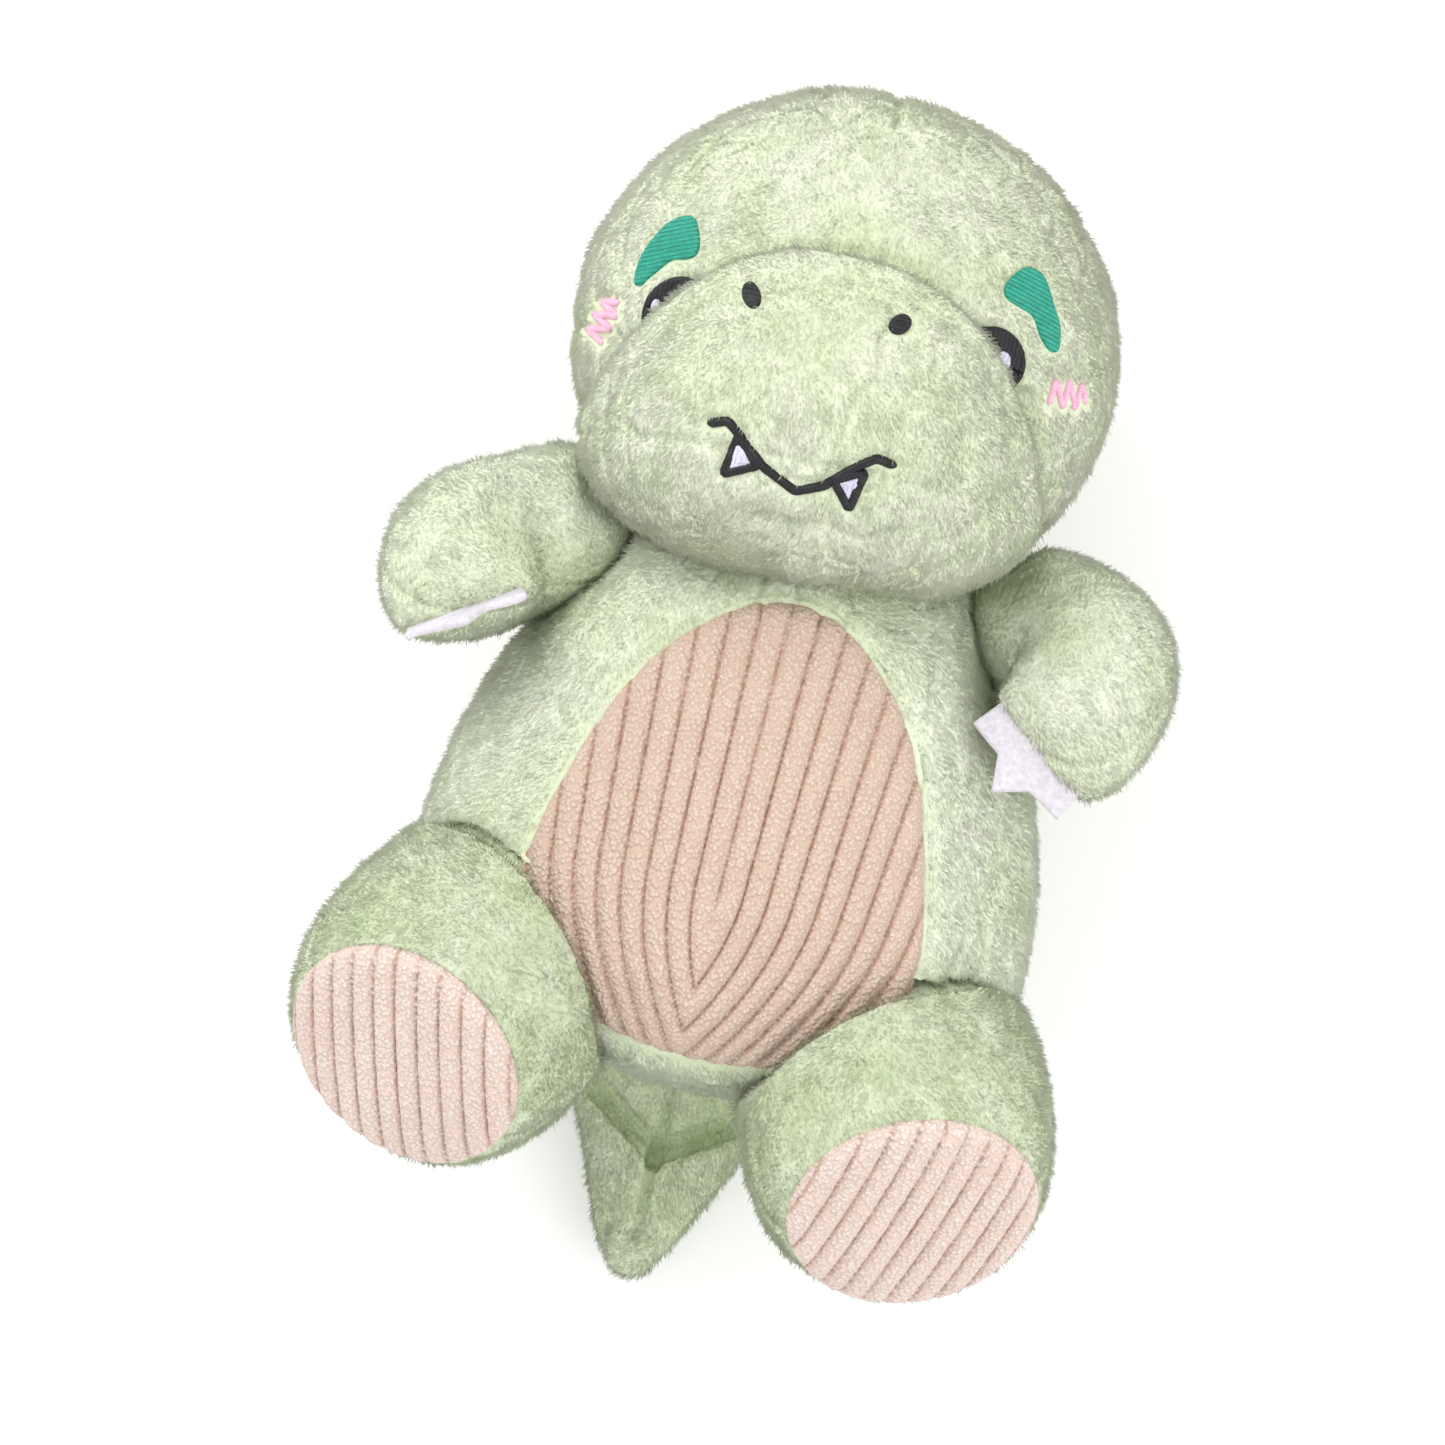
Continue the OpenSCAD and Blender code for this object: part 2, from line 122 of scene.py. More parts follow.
area_light("key", (-0.85, 0.75, 1.05), 0.9, 9.0)
area_light("fill", (1.1, -0.3, 0.8), 1.2, 5.0)


def make_world():
    """An even pale sky, seen as pure white."""
    world = bpy.data.worlds.new("studio")
    bpy.context.scene.world = world
    world.use_nodes = True
    tree = world.node_tree
    tree.nodes.clear()
    rays = node(tree, "LightPath")
    lit = node(tree, "Background", {"Color": WHITE, "Strength": SKY})
    seen = node(tree, "Background", {"Color": WHITE, "Strength": 1.0})
    mix = node(tree, "MixShader",
               {0: rays.outputs["Is Camera Ray"], 1: lit.outputs[0], 2: seen.outputs[0]})
    node(tree, "OutputWorld", {"Surface": mix.outputs[0]})


make_world()


def make_floor():
    """A pale paper floor that glows a little to the camera, so that it photographs white."""
    mesh = bpy.data.meshes.new("floor")
    corners = [(-1, -1), (1, -1), (1, 1), (-1, 1)]
    mesh.from_pydata([(x * FLOOR_HALF, y * FLOOR_HALF, 0) for x, y in corners], [], [(0, 1, 2, 3)])
    floor = link_object("floor", mesh)
    floor.location = (0, 0, cad_box[0][2] - FLOOR_BELOW)
    material = bpy.data.materials.new("floor_paper")
    material.use_nodes = True
    tree = material.node_tree
    tree.nodes.clear()
    level = times(tree, node(tree, "LightPath").outputs["Is Camera Ray"], FLOOR_GLOW)
    paper = node(tree, "BsdfDiffuse", {"Color": (FLOOR_GREY, FLOOR_GREY, FLOOR_GREY, 1)})
    glow = node(tree, "Emission", {"Color": WHITE, "Strength": level})
    both = node(tree, "AddShader", {0: paper.outputs[0], 1: glow.outputs[0]})
    node(tree, "OutputMaterial", {"Surface": both.outputs[0]})
    mesh.materials.append(material)


make_floor()


# --- noise and small maths
def smooth(a, b, v):
    t = np.clip((v - a) / (b - a), 0.0, 1.0)
    return t * t * (3 - 2 * t)


def soft_max(a, b, k):
    h = np.clip(0.5 + 0.5 * (a - b) / k, 0.0, 1.0)
    return b * (1 - h) + a * h + k * h * (1 - h)


def soft_min(a, b, k):
    return -soft_max(-a, -b, k)


def random_at(cells, seed):
    """A steady value from 0 to 1 for each whole-number cell."""
    c = cells.astype(np.int64)
    h = c[..., 0] * 73856093 ^ c[..., 1] * 19349663 ^ c[..., 2] * 83492791 ^ seed * 2654435761
    h = (h ^ (h >> 13)) * 1274126177
    h = h ^ (h >> 16)
    return ((h & 0xFFFFFF) / float(0xFFFFFF)).astype(np.float32)


def noise(p, size, seed=0):
    """Smooth noise from -1 to 1; size is the distance between its hills."""
    q = p / size
    i = np.floor(q)
    f = q - i
    f = f * f * (3 - 2 * f)
    g = 1 - f
    out = np.zeros(len(p), dtype=np.float32)
    for corner in np.ndindex(2, 2, 2):
        w = np.where(corner, f, g)
        out += w[:, 0] * w[:, 1] * w[:, 2] * random_at(i + np.array(corner), seed)
    return out * 2 - 1


def noises(p, size, seeds):
    return np.stack([noise(p, size, seed) for seed in seeds], axis=1)


def cell_edge(p, size, seed):
    """Distance to the border between rounded cells."""
    q = p / size
    base = np.floor(q)
    near = np.full(len(p), 9.0)
    second = near
    for step in np.ndindex(3, 3, 3):
        cell = base + np.array(step) - 1
        jitter = np.stack([random_at(cell, seed + k) for k in (1, 2, 3)], axis=1)
        d = np.linalg.norm(cell + 0.15 + 0.7 * jitter - q, axis=1)
        second = np.where(d < near, near, np.minimum(second, d))
        near = np.minimum(near, d)
    return (second - near) * size


def curve_through(xs, ys):
    """A smooth function through the points that doesn't overshoot between them."""
    xs, ys = np.asarray(xs, float), np.asarray(ys, float)
    step = np.diff(xs)
    slope = np.diff(ys) / step
    m = np.zeros(len(xs))
    for i in range(1, len(xs) - 1):
        if slope[i - 1] * slope[i] > 0:
            w1, w2 = 2 * step[i] + step[i - 1], step[i] + 2 * step[i - 1]
            m[i] = (w1 + w2) / (w1 / slope[i - 1] + w2 / slope[i])
    m[0], m[-1] = slope[0], slope[-1]

    def at(x):
        x = np.clip(x, xs[0], xs[-1])
        i = np.clip(np.searchsorted(xs, x) - 1, 0, len(step) - 1)
        h, t = step[i], (x - xs[i]) / step[i]
        return ((2 * t**3 - 3 * t**2 + 1) * ys[i] + (t**3 - 2 * t**2 + t) * h * m[i]
                + (3 * t**2 - 2 * t**3) * ys[i + 1] + (t**3 - t**2) * h * m[i + 1])
    return at


def profiles(rows, scales):
    """For rows (place, size, size...), each size as a smooth function of the place, scaled."""
    table = np.array(rows, float)
    return [curve_through(table[:, 0], table[:, k + 1] * scale) for k, scale in enumerate(scales)]


def rotation(degrees, axis):
    c, s = math.cos(math.radians(degrees)), math.sin(math.radians(degrees))
    return np.array({"x": [[1, 0, 0], [0, c, -s], [0, s, c]],
                     "y": [[c, 0, s], [0, 1, 0], [-s, 0, c]],
                     "z": [[c, -s, 0], [s, c, 0], [0, 0, 1]]}[axis])


def into(p, origin, turn):
    """World points in the frame of a part whose axes are the columns of turn."""
    return (p - origin) @ turn


def unit(v, least=0.0):
    return v / (np.linalg.norm(v, axis=1)[:, None] + least)


# --- the forms, as distance fields
MID_Z = 46.0
NECK = np.array([0.0, 22.0, 46.0])
NECK_R = 50.0
HALF_W, HALF_D = 66.0, 50.0
BODY_ENDS = (-60.4, 71.8)
# Stations on the neck ball, as shares of its radius beyond its middle.
NECK_SHARES = (0.36, 0.54, 0.72, 0.88)
# Along the body from the seat to the neck: y, half width, half depth.
BODY_STATIONS = [
    (-60.5, 0.5, 0.5), (-59, HALF_W * 0.20, HALF_D * 0.22), (-55.5, HALF_W * 0.54, HALF_D * 0.58),
    (-47, HALF_W * 0.81, HALF_D * 0.85), (-34, HALF_W * 0.96, HALF_D * 0.965),
    (-19, HALF_W, HALF_D), (-2, HALF_W * 0.965, HALF_D), (13, HALF_W * 0.91, HALF_D * 0.985),
    (25, HALF_W * 0.84, HALF_D * 0.96), (33, HALF_W * 0.775, HALF_D * 0.945)]
BODY_STATIONS += [(NECK[1] + NECK_R * k,) + 2 * (NECK_R * math.sqrt(1 - k * k),)
                  for k in NECK_SHARES] + [(71.9, 2.0, 2.0)]
BODY_W, BODY_D = profiles(BODY_STATIONS, (1, 1))

HEAD_AT = np.array([-4.0, 100.0, 51.0])
HEAD_TURN = rotation(3.5, "z")
HEAD_HALF = np.array([57.5, 54.0, 53.5])
HEAD_SQUARE = 2.05
MUZZLE_AT = np.array([-2.5, -14.5, 30.0])
MUZZLE_TURN = rotation(17, "x")
MUZZLE_HALF = np.array([43.0, 34.5, 46.0])

# Arms are given left, right, as if both were on the right.
ARM_ROOT = np.array([[43.0, 46.0, 55.0], [40.0, 50.0, 55.0]])
ARM_BEND = np.array([[79.0, 45.0, 58.0], [76.0, 58.0, 65.0]])
ARM_END = np.array([[66.0, 26.0, 84.0], [55.0, 28.0, 80.0]])
ARM_R = 17.5
SHOULDER = np.array([[53.5, 49.0, 58.0], [50.5, 53.0, 58.0]])
SHOULDER_R = 16.5
# How far along, the half width there, and the thickness as a share of the width.
ARM_STEPS = [(0, 0.34, 1), (0.07, 0.74, 1), (0.2, 0.95, 1), (0.36, 1, 1), (0.54, 1, 1),
             (0.72, 0.99, 0.97), (0.87, 0.95, 0.8), (0.96, 0.86, 0.52), (1, 0.76, 0.26)]
ARM_REACH = (10, 20)
ARM_TO_HEAD = 1.6
ARM_T = np.linspace(0, 1, 61)
ARM_WIDE, ARM_THICK = profiles([(t, wide, wide * flat) for t, wide, flat in ARM_STEPS],
                               (ARM_R, ARM_R))

HIP = (np.array([-43.0, -41.0, 62.0]), np.array([41.5, -45.5, 62.4]))
HIP_R = 28.0
LEG_SPREAD = (27.0, 25.0)
LEG_LIFT = 50.0
LEG_R = 32.5
LEG_STEPS = [(-31.5, 0.02), (-30, 0.25), (-25, 0.62), (-15, 0.88), (0, 0.985), (15, 1), (30, 0.93),
             (41, 0.80)]
LEG_SWING = (-12, 3, 18)
SOLE_Y, SOLE_R = 41.0, 26.0
LEG_RADIUS, = profiles(LEG_STEPS, (LEG_R,))

TAIL_AT = np.array([0.0, -48.0, 20.0])
TAIL_BALL = 20.0
TAIL_HALF = (25.0, 16.5)
TAIL_LENGTH = 59.0
TAIL_SWING = (0, 17, 33, 50)
TAIL_ROOT = 14
TAIL_STEPS = [(-19.5, 0.03, 0.04), (-19, 0.22, 0.25), (-15, 0.62, 0.66), (-6, 0.92, 0.95),
              (4, 1, 1), (TAIL_ROOT, 0.96, 0.98)]
TAIL_STEPS += [(TAIL_ROOT + (TAIL_LENGTH - TAIL_ROOT) * k / 5,
                0.96 - 0.72 * k / 5 - 0.10 * (k / 5)**4,
                0.98 - 0.68 * k / 5 - 0.12 * (k / 5)**4) for k in (1, 2, 3, 4, 5)]
TAIL_W, TAIL_D = profiles(TAIL_STEPS, TAIL_HALF)


def flipped(p, s):
    """Points or a point of one side, moved to the right or back."""
    return p * np.array([SIDE[s], 1, 1])


def shoulder_at(s):
    return flipped(SHOULDER[s], s)


def oval_tube(x, z, w, d):
    return (np.sqrt((x / w)**2 + (z / d)**2) - 1) * np.minimum(w, d)


def body_field(p):
    """About the distance outside the stuffed body, flat back included."""
    x, y, z = p.T
    side = oval_tube(x, z - MID_Z, BODY_W(y), BODY_D(y))
    ends = np.maximum(y - BODY_ENDS[1], BODY_ENDS[0] - y)
    return np.maximum(np.maximum(side, ends), -z)


def swept_body(p, centre, swing):
    """The body as a limb meets it over its swing about X."""
    return np.minimum.reduce(
        [body_field((p - centre) @ rotation(angle, "x").T + centre) for angle in swing])


def ball_field(p, centre, r):
    return np.linalg.norm(p - centre, axis=1) - r


def cranium_field(p):
    x, y, z = (into(p, HEAD_AT, HEAD_TURN) / HEAD_HALF).T
    ring = (np.abs(x)**HEAD_SQUARE + np.abs(z)**HEAD_SQUARE)**(2 / HEAD_SQUARE)
    return (np.sqrt(ring + y**2) - 1) * 54.0


def muzzle_field(p):
    """A squared ball that narrows towards its top."""
    x, y, z = (into(into(p, HEAD_AT, HEAD_TURN), MUZZLE_AT, MUZZLE_TURN) / MUZZLE_HALF).T
    x = x / (1 - 0.3 * np.clip(y, -1, 1))
    ring = (np.abs(x)**2.5 + np.abs(y)**2.5)**(1 / 2.5)
    return ((ring**2.3 + np.abs(z)**2.3)**(1 / 2.3) - 1) * 36.0


def arm_rings(s):
    """Points along the arm's path with their directions ahead, across and out."""
    t = ARM_T[:, None]
    at = (1 - t)**2 * ARM_ROOT[s] + 2 * t * (1 - t) * ARM_BEND[s] + t**2 * ARM_END[s]
    ahead = unit((1 - t) * (ARM_BEND[s] - ARM_ROOT[s]) + t * (ARM_END[s] - ARM_BEND[s]))
    across = unit(np.stack([-ahead[:, 1], ahead[:, 0], np.zeros(len(t))], axis=1))
    return at, ahead, across, np.cross(across, ahead)


def arm_field(p, s):
    """The arm's bent tube, flattening into the hand, with its round root."""
    q = flipped(p, s)
    at, ahead, across, out = arm_rings(s)
    best = np.full(len(q), 1e9)
    which = np.zeros(len(q), dtype=int)
    for i in range(len(at)):
        off = q - at[i]
        far = np.linalg.norm(off, axis=1)
        d = np.where(far < 30, np.abs(off @ ahead[i]) + 0.02 * far, 1e8 + far)
        which = np.where(d < best, i, which)
        best = np.minimum(best, d)
    t = ARM_T[which]
    off = q - at[which]
    along, u, v = (np.einsum("ij,ij->i", off, way[which]) for way in (ahead, across, out))
    tube = oval_tube(u, v, ARM_WIDE(t), ARM_THICK(t))
    past = np.where(t > 0.5, along, -along)
    ends = np.where((which == 0) | (which == len(at) - 1), past - 0.6, -9.0)
    tube = soft_max(tube, ends, 2.0)
    return soft_min(tube, ball_field(p, shoulder_at(s), SHOULDER_R), 3.0)


def leg_turn(s):
    return rotation(SIDE[s] * LEG_SPREAD[s], "z") @ rotation(90 - LEG_LIFT, "x")


def leg_field(p, s):
    """The leg's tube, from its round root to the sole."""
    x, y, z = into(p, HIP[s], leg_turn(s)).T
    ends = np.maximum(z - (SOLE_Y + 1.5), -31.4 - z)
    return soft_max(np.hypot(x, y) - LEG_RADIUS(z), ends, 3.0)


def tail_field(p):
    """The flat tail, its middle line falling to the floor and on towards the back."""
    x, y, z = p.T
    along = TAIL_AT[1] - y
    middle = (TAIL_AT[2] - (TAIL_AT[2] - TAIL_HALF[1]) * np.clip(along / TAIL_ROOT, 0, 1)
              - 0.16 * np.maximum(along - TAIL_ROOT, 0))
    side = oval_tube(x, z - middle, TAIL_W(along), TAIL_D(along))
    ends = np.maximum(along - TAIL_LENGTH, -19.4 - along)
    return np.maximum(soft_max(side, ends, 2.0), -z)


# --- skins from fields
# How many grid points are worked out at once.
NET_CHUNK = 400000


def net(field, low, high, step):
    """The zero skin of a field on a grid, as vertices and quads (surface nets)."""
    axes = [np.arange(low[k], high[k] + step, step) for k in range(3)]
    shape = tuple(len(a) for a in axes)
    grid = np.stack(np.meshgrid(*axes, indexing="ij"), axis=-1).reshape(-1, 3)
    value = np.empty(len(grid), dtype=np.float32)
    for i in range(0, len(grid), NET_CHUNK):
        value[i:i + NET_CHUNK] = field(grid[i:i + NET_CHUNK])
    value = value.reshape(shape)
    inside = value < 0
    cells = tuple(n - 1 for n in shape)
    total = np.zeros(cells + (3,), dtype=np.float32)
    count = np.zeros(cells, dtype=np.float32)
    for axis in range(3):
        u, v = [k for k in range(3) if k != axis]
        for du, dv in np.ndindex(2, 2):
            a = [slice(0, -1)] * 3
            b = [slice(0, -1)] * 3
            b[axis] = slice(1, None)
            for k, dk in ((u, du), (v, dv)):
                a[k] = b[k] = slice(dk, shape[k] - 1 + dk)
            va, vb = value[tuple(a)], value[tuple(b)]
            cross = (va < 0) != (vb < 0)
            point = np.zeros(total.shape, dtype=np.float32)
            point[..., axis] = np.where(cross, va / np.where(cross, va - vb, 1), 0)
            point[..., u] = du
            point[..., v] = dv
            total += point * cross[..., None]
            count += cross
    used = count > 0
    number = np.full(cells, -1, dtype=np.int64)
    number[used] = np.arange(used.sum())
    start = np.array([a[0] for a in axes])
    verts = start + (np.argwhere(used) + total[used] / count[used][:, None]) * step
    quads = []
    for axis in range(3):
        u, v = (axis + 1) % 3, (axis + 2) % 3
        a = [slice(1, -1)] * 3
        b = [slice(1, -1)] * 3
        a[axis], b[axis] = slice(0, -1), slice(1, None)
        ia, ib = inside[tuple(a)], inside[tuple(b)]
        for turn, hit in ((1, ia & ~ib), (-1, ~ia & ib)):
            corners = []
            for du, dv in ((0, 0), (1, 0), (1, 1), (0, 1)):
                c = np.argwhere(hit)
                c[:, u] += du
                c[:, v] += dv
                corners.append(number[c[:, 0], c[:, 1], c[:, 2]])
            quads.append(np.stack(corners, axis=1)[:, ::turn])
    return verts, np.concatenate(quads)


def finish_mesh(mesh, material):
    mesh.update(calc_edges=True)
    mesh.validate()
    mesh.polygons.foreach_set("use_smooth", np.ones(len(mesh.polygons), dtype=bool))
    mesh.materials.append(material)
    return link_object(mesh.name, mesh)


def mixed_mesh(name, verts, faces, material):
    """An object from a list of faces of any number of corners."""
    mesh = bpy.data.meshes.new(name)
    mesh.from_pydata((verts * MM).tolist(), [], faces)
    return finish_mesh(mesh, material)


def quad_mesh(name, verts, quads, material):
    mesh = bpy.data.meshes.new(name)
    mesh.vertices.add(len(verts))
    mesh.vertices.foreach_set("co", (np.asarray(verts, dtype=np.float32) * MM).ravel())
    mesh.loops.add(quads.size)
    mesh.loops.foreach_set("vertex_index", quads.ravel().astype(np.int32))
    mesh.polygons.add(len(quads))
    mesh.polygons.foreach_set("loop_start", np.arange(0, quads.size, 4, dtype=np.int32))
    return finish_mesh(mesh, material)


def read(items, key, width, kind=np.float32):
    """One property of all items, as rows of width numbers."""
    out = np.empty(len(items) * width, dtype=kind)
    items.foreach_get(key, out)
    return out.reshape(-1, width)


def points_of(piece):
    return read(piece.data.vertices, "co", 3).astype(np.float64) / MM


def normals_of(piece):
    piece.data.update()
    return read(piece.data.vertices, "normal", 3).astype(np.float64)


def set_points(piece, p):
    piece.data.vertices.foreach_set("co", (p * MM).astype(np.float32).ravel())
    piece.data.update()


def paint(piece, name, values):
    """A number for each point, for the piece's material."""
    layer = piece.data.attributes.new(name, "FLOAT", "POINT")
    layer.data.foreach_set("value", np.asarray(values, dtype=np.float32))


def apply_modifiers(piece):
    graph = bpy.context.evaluated_depsgraph_get()
    mesh = bpy.data.meshes.new_from_object(piece.evaluated_get(graph))
    piece.modifiers.clear()
    old = piece.data
    piece.data = mesh
    mesh.name = piece.name
    bpy.data.meshes.remove(old)
    mesh.polygons.foreach_set("use_smooth", np.ones(len(mesh.polygons), dtype=bool))


def skin(name, field, low, high, step, material):
    """A dense, even, closed mesh of a field: netted, relaxed and subdivided."""
    piece = quad_mesh(name, *net(field, low, high, step), material)
    ease = piece.modifiers.new("ease", "SMOOTH")
    ease.iterations, ease.factor = 3, 0.5
    finer = piece.modifiers.new("finer", "SUBSURF")
    finer.levels = finer.render_levels = 1
    apply_modifiers(piece)
    return piece


# --- materials
def linear(r, g, b):
    def one(v):
        v /= 255.0
        return v / 12.92 if v <= 0.04045 else ((v + 0.055) / 1.055)**2.4
    return (one(r), one(g), one(b), 1.0)


def new_material(name):
    material = bpy.data.materials.new(name)
    material.use_nodes = True
    tree = material.node_tree
    return material, tree, tree.nodes["Principled BSDF"]


def mix_colour(tree, factor, a, b):
    return node(tree, "Mix", {0: factor, 6: a, 7: b}, data_type="RGBA").outputs[2]


def ranged(tree, value, low, high, to_low=0.0, to_high=1.0):
    return node(tree, "MapRange", {"Value": value, "From Min": low, "From Max": high,
                                   "To Min": to_low, "To Max": to_high}).outputs["Result"]


def deepened(tree, colour, by, share, deep):
    """The colour, drawn to deep by up to a share where the socket by goes from 0 to 1."""
    return mix_colour(tree, ranged(tree, by, 0, 1, 0.0, share), colour, deep)


def object_place(tree):
    return node(tree, "TexCoord").outputs["Object"]


def texture_noise(tree, place, size_mm, detail=2.0, stretch=(1, 1, 1)):
    """Noise whose hills are about size_mm apart."""
    mapping = node(tree, "Mapping", {"Scale": stretch, "Vector": place})
    return node(tree, "TexNoise", {"Scale": 1.0 / (size_mm * MM), "Detail": detail,
                                   "Vector": mapping.outputs["Vector"]}).outputs["Fac"]


def attribute(tree, name, output="Fac"):
    return node(tree, "Attribute", attribute_name=name).outputs[output]


def add_bump(tree, shader, height, strength, distance_mm, invert=False):
    bump = node(tree, "Bump", {"Strength": strength, "Distance": distance_mm * MM,
                               "Height": height}, invert=invert)
    tree.links.new(bump.outputs["Normal"], shader.inputs["Normal"])


def plush_colour(tree, light, deep, streak):
    """Plush colour by place: broad clouds, and deeper streaks of the lie of the pile."""
    place = object_place(tree)
    broad = ranged(tree, texture_noise(tree, place, 24, 2), 0.38, 0.62)
    lie = ranged(tree, texture_noise(tree, place, 5.5, 3, (1, 0.5, 1)), 0.4, 0.68)
    colour = mix_colour(tree, broad, light, streak)
    return place, deepened(tree, colour, lie, 0.3, deep)


def plush_material(name, light, deep, streak):
    """The backing of short plush, seen between the fibres, with painted shade in its grooves and
    seams.
    """
    material, tree, shader = new_material(name)
    place, colour = plush_colour(tree, light, deep, streak)
    fine = ranged(tree, texture_noise(tree, place, 0.8, 2, (1, 0.5, 1)), 0.42, 0.7)
    colour = deepened(tree, colour, fine, 0.30, deep)
    # Painted shade: the colour goes towards deep along the pressed grooves and seams.
    colour = deepened(tree, colour, attribute(tree, "hollow"), 0.6, deep)
    set_sockets(tree, shader, {"Base Color": colour, "Roughness": 0.95, "Specular IOR Level": 0.1,
                               "Sheen Weight": 0.2, "Sheen Roughness": 0.5, "Sheen Tint": light})
    add_bump(tree, shader, texture_noise(tree, place, 0.8, 4, (1, 0.45, 1)), 0.6, 0.8)
    return material


# The share of light that a fibre hands on.
FIBRE_SHADOW_PASS = 0.6
# The size of a corduroy loop.
CORD_LOOP = 1.0


def fibre_material(name, light, deep, streak):
    """Plush fibres: darker at the root as painted shade in the pile, pale at the tip, each a little
    different.

    They are solid to the eye, but pale fibres hand light on, so their shadows are soft."""
    material, tree, shader = new_material(name)
    _, colour = plush_colour(tree, light, deep, streak)
    # Painted shade: each fibre goes towards the deep colour near its root.
    root = ranged(tree, node(tree, "HairInfo").outputs["Intercept"], 0.0, 0.8, 0.18, 0.0)
    colour = mix_colour(tree, root, colour, deep)
    colour = deepened(tree, colour, attribute(tree, "shade"), 0.2, deep)
    turned_up = node(tree, "VectorTransform", {0: attribute(tree, "skin_up", "Vector")},
                     vector_type="NORMAL", convert_from="OBJECT", convert_to="WORLD")
    set_sockets(tree, shader, {"Base Color": colour, "Roughness": 0.85, "Specular IOR Level": 0.12,
                               "Sheen Weight": 0.25, "Sheen Roughness": 0.45, "Sheen Tint": light,
                               "Normal": turned_up.outputs[0]})
    passed = times(tree, node(tree, "LightPath").outputs["Is Shadow Ray"], FIBRE_SHADOW_PASS)
    clear = node(tree, "BsdfTransparent")
    both = node(tree, "MixShader", {0: passed, 1: shader.outputs[0], 2: clear.outputs[0]})
    tree.links.new(both.outputs[0], tree.nodes["Material Output"].inputs["Surface"])
    return material


def corduroy_material(name, light, deep):
    """Corduroy: pale nubby ribs of small loops, with painted shade between the loops and a broken
    line of painted shade down each groove.
    """
    material, tree, shader = new_material(name)
    place = object_place(tree)
    loops = node(tree, "TexVoronoi", {"Scale": 1.0 / (CORD_LOOP * MM), "Vector": place})
    between = ranged(tree, loops.outputs["Distance"], 0.25, 0.75)
    cloud = ranged(tree, texture_noise(tree, place, 14, 2), 0.3, 0.7, 0.0, 0.12)
    colour = mix_colour(tree, cloud, light, deep)
    # Painted shade between the loops.
    colour = deepened(tree, colour, between, 0.34, deep)
    # Painted shade down each rib's groove, broken into dots by the loops.
    dotted_groove_shade = times(tree, attribute(tree, "groove"), ranged(tree, between, 0, 1, 0.55, 1.0))
    set_sockets(tree, shader, {"Base Color": mix_colour(tree, dotted_groove_shade, colour, deep),
                               "Roughness": 0.92, "Specular IOR Level": 0.15, "Sheen Weight": 0.2})
    add_bump(tree, shader, between, 0.7, 0.7, invert=True)
    return material


def thread_material(name, light, deep):
    """Embroidery thread: a soft gloss, with painted shade between the threads."""
    material, tree, shader = new_material(name)
    # Painted shade: the deep colour goes between the threads, the light colour on their ridges.
    colour = mix_colour(tree, attribute(tree, "groove"), light, deep)
    fleck = ranged(tree, texture_noise(tree, object_place(tree), 1.2, 2), 0.3, 0.7, 0.0, 0.4)
    set_sockets(tree, shader, {"Base Color": mix_colour(tree, fleck, colour, deep),
                               "Roughness": 0.45, "Specular IOR Level": 0.4})
    return material


def felt_material(name, light, deep):
    material, tree, shader = new_material(name)
    place = object_place(tree)
    cloud = ranged(tree, texture_noise(tree, place, 1.1, 4), 0.3, 0.7)
    set_sockets(tree, shader, {"Base Color": mix_colour(tree, cloud, light, deep),
                               "Roughness": 0.95, "Sheen Weight": 0.3})
    add_bump(tree, shader, texture_noise(tree, place, 0.5, 4), 0.5, 0.4)
    return material


# Light, deep and streak.
# The limb greens, darker and greener, go on the legs and the tail; on the tail the darker tone is
# painted shade.
GREENS = {"head": (linear(243, 247, 228), linear(210, 223, 176), linear(236, 243, 214)),
          "body": (linear(247, 251, 233), linear(215, 231, 187), linear(239, 246, 219)),
          "limb": (linear(233, 239, 213), linear(186, 206, 157), linear(221, 231, 197))}
PLUSH = {part: plush_material("plush_" + part, *greens) for part, greens in GREENS.items()}
FIBRE = {part: fibre_material("plush_fibre_" + part, *greens) for part, greens in GREENS.items()}
CORD_BELLY = corduroy_material("corduroy_belly", linear(233, 211, 195), linear(174, 132, 105))
CORD_SOLE = corduroy_material("corduroy_sole", linear(249, 231, 221), linear(192, 151, 131))
# The threads, each under the name of its slot: the first colour is on the threads' ridges, the
# second is painted shade between them; the teal's ridge colour is partly painted highlight.
THREADS = {slot: thread_material(slot, light, deep) for slot, light, deep in (
    ("thread_teal", linear(48, 178, 152), linear(4, 98, 82)),
    ("thread_black", linear(34, 36, 38), linear(10, 10, 12)),
    ("thread_white", linear(228, 225, 243), linear(180, 178, 200)),
    ("thread_pink", linear(247, 198, 220), linear(226, 160, 192)))}
FELT = felt_material("felt_claws", linear(236, 231, 238), linear(214, 208, 218))


# --- surface work
# The embossed scales' size, and the width of the groove round them.
CELL_SIZE, CELL_GROOVE = 10.5, 1.9
# A distance at which a seam does nothing.
AWAY = 99.0


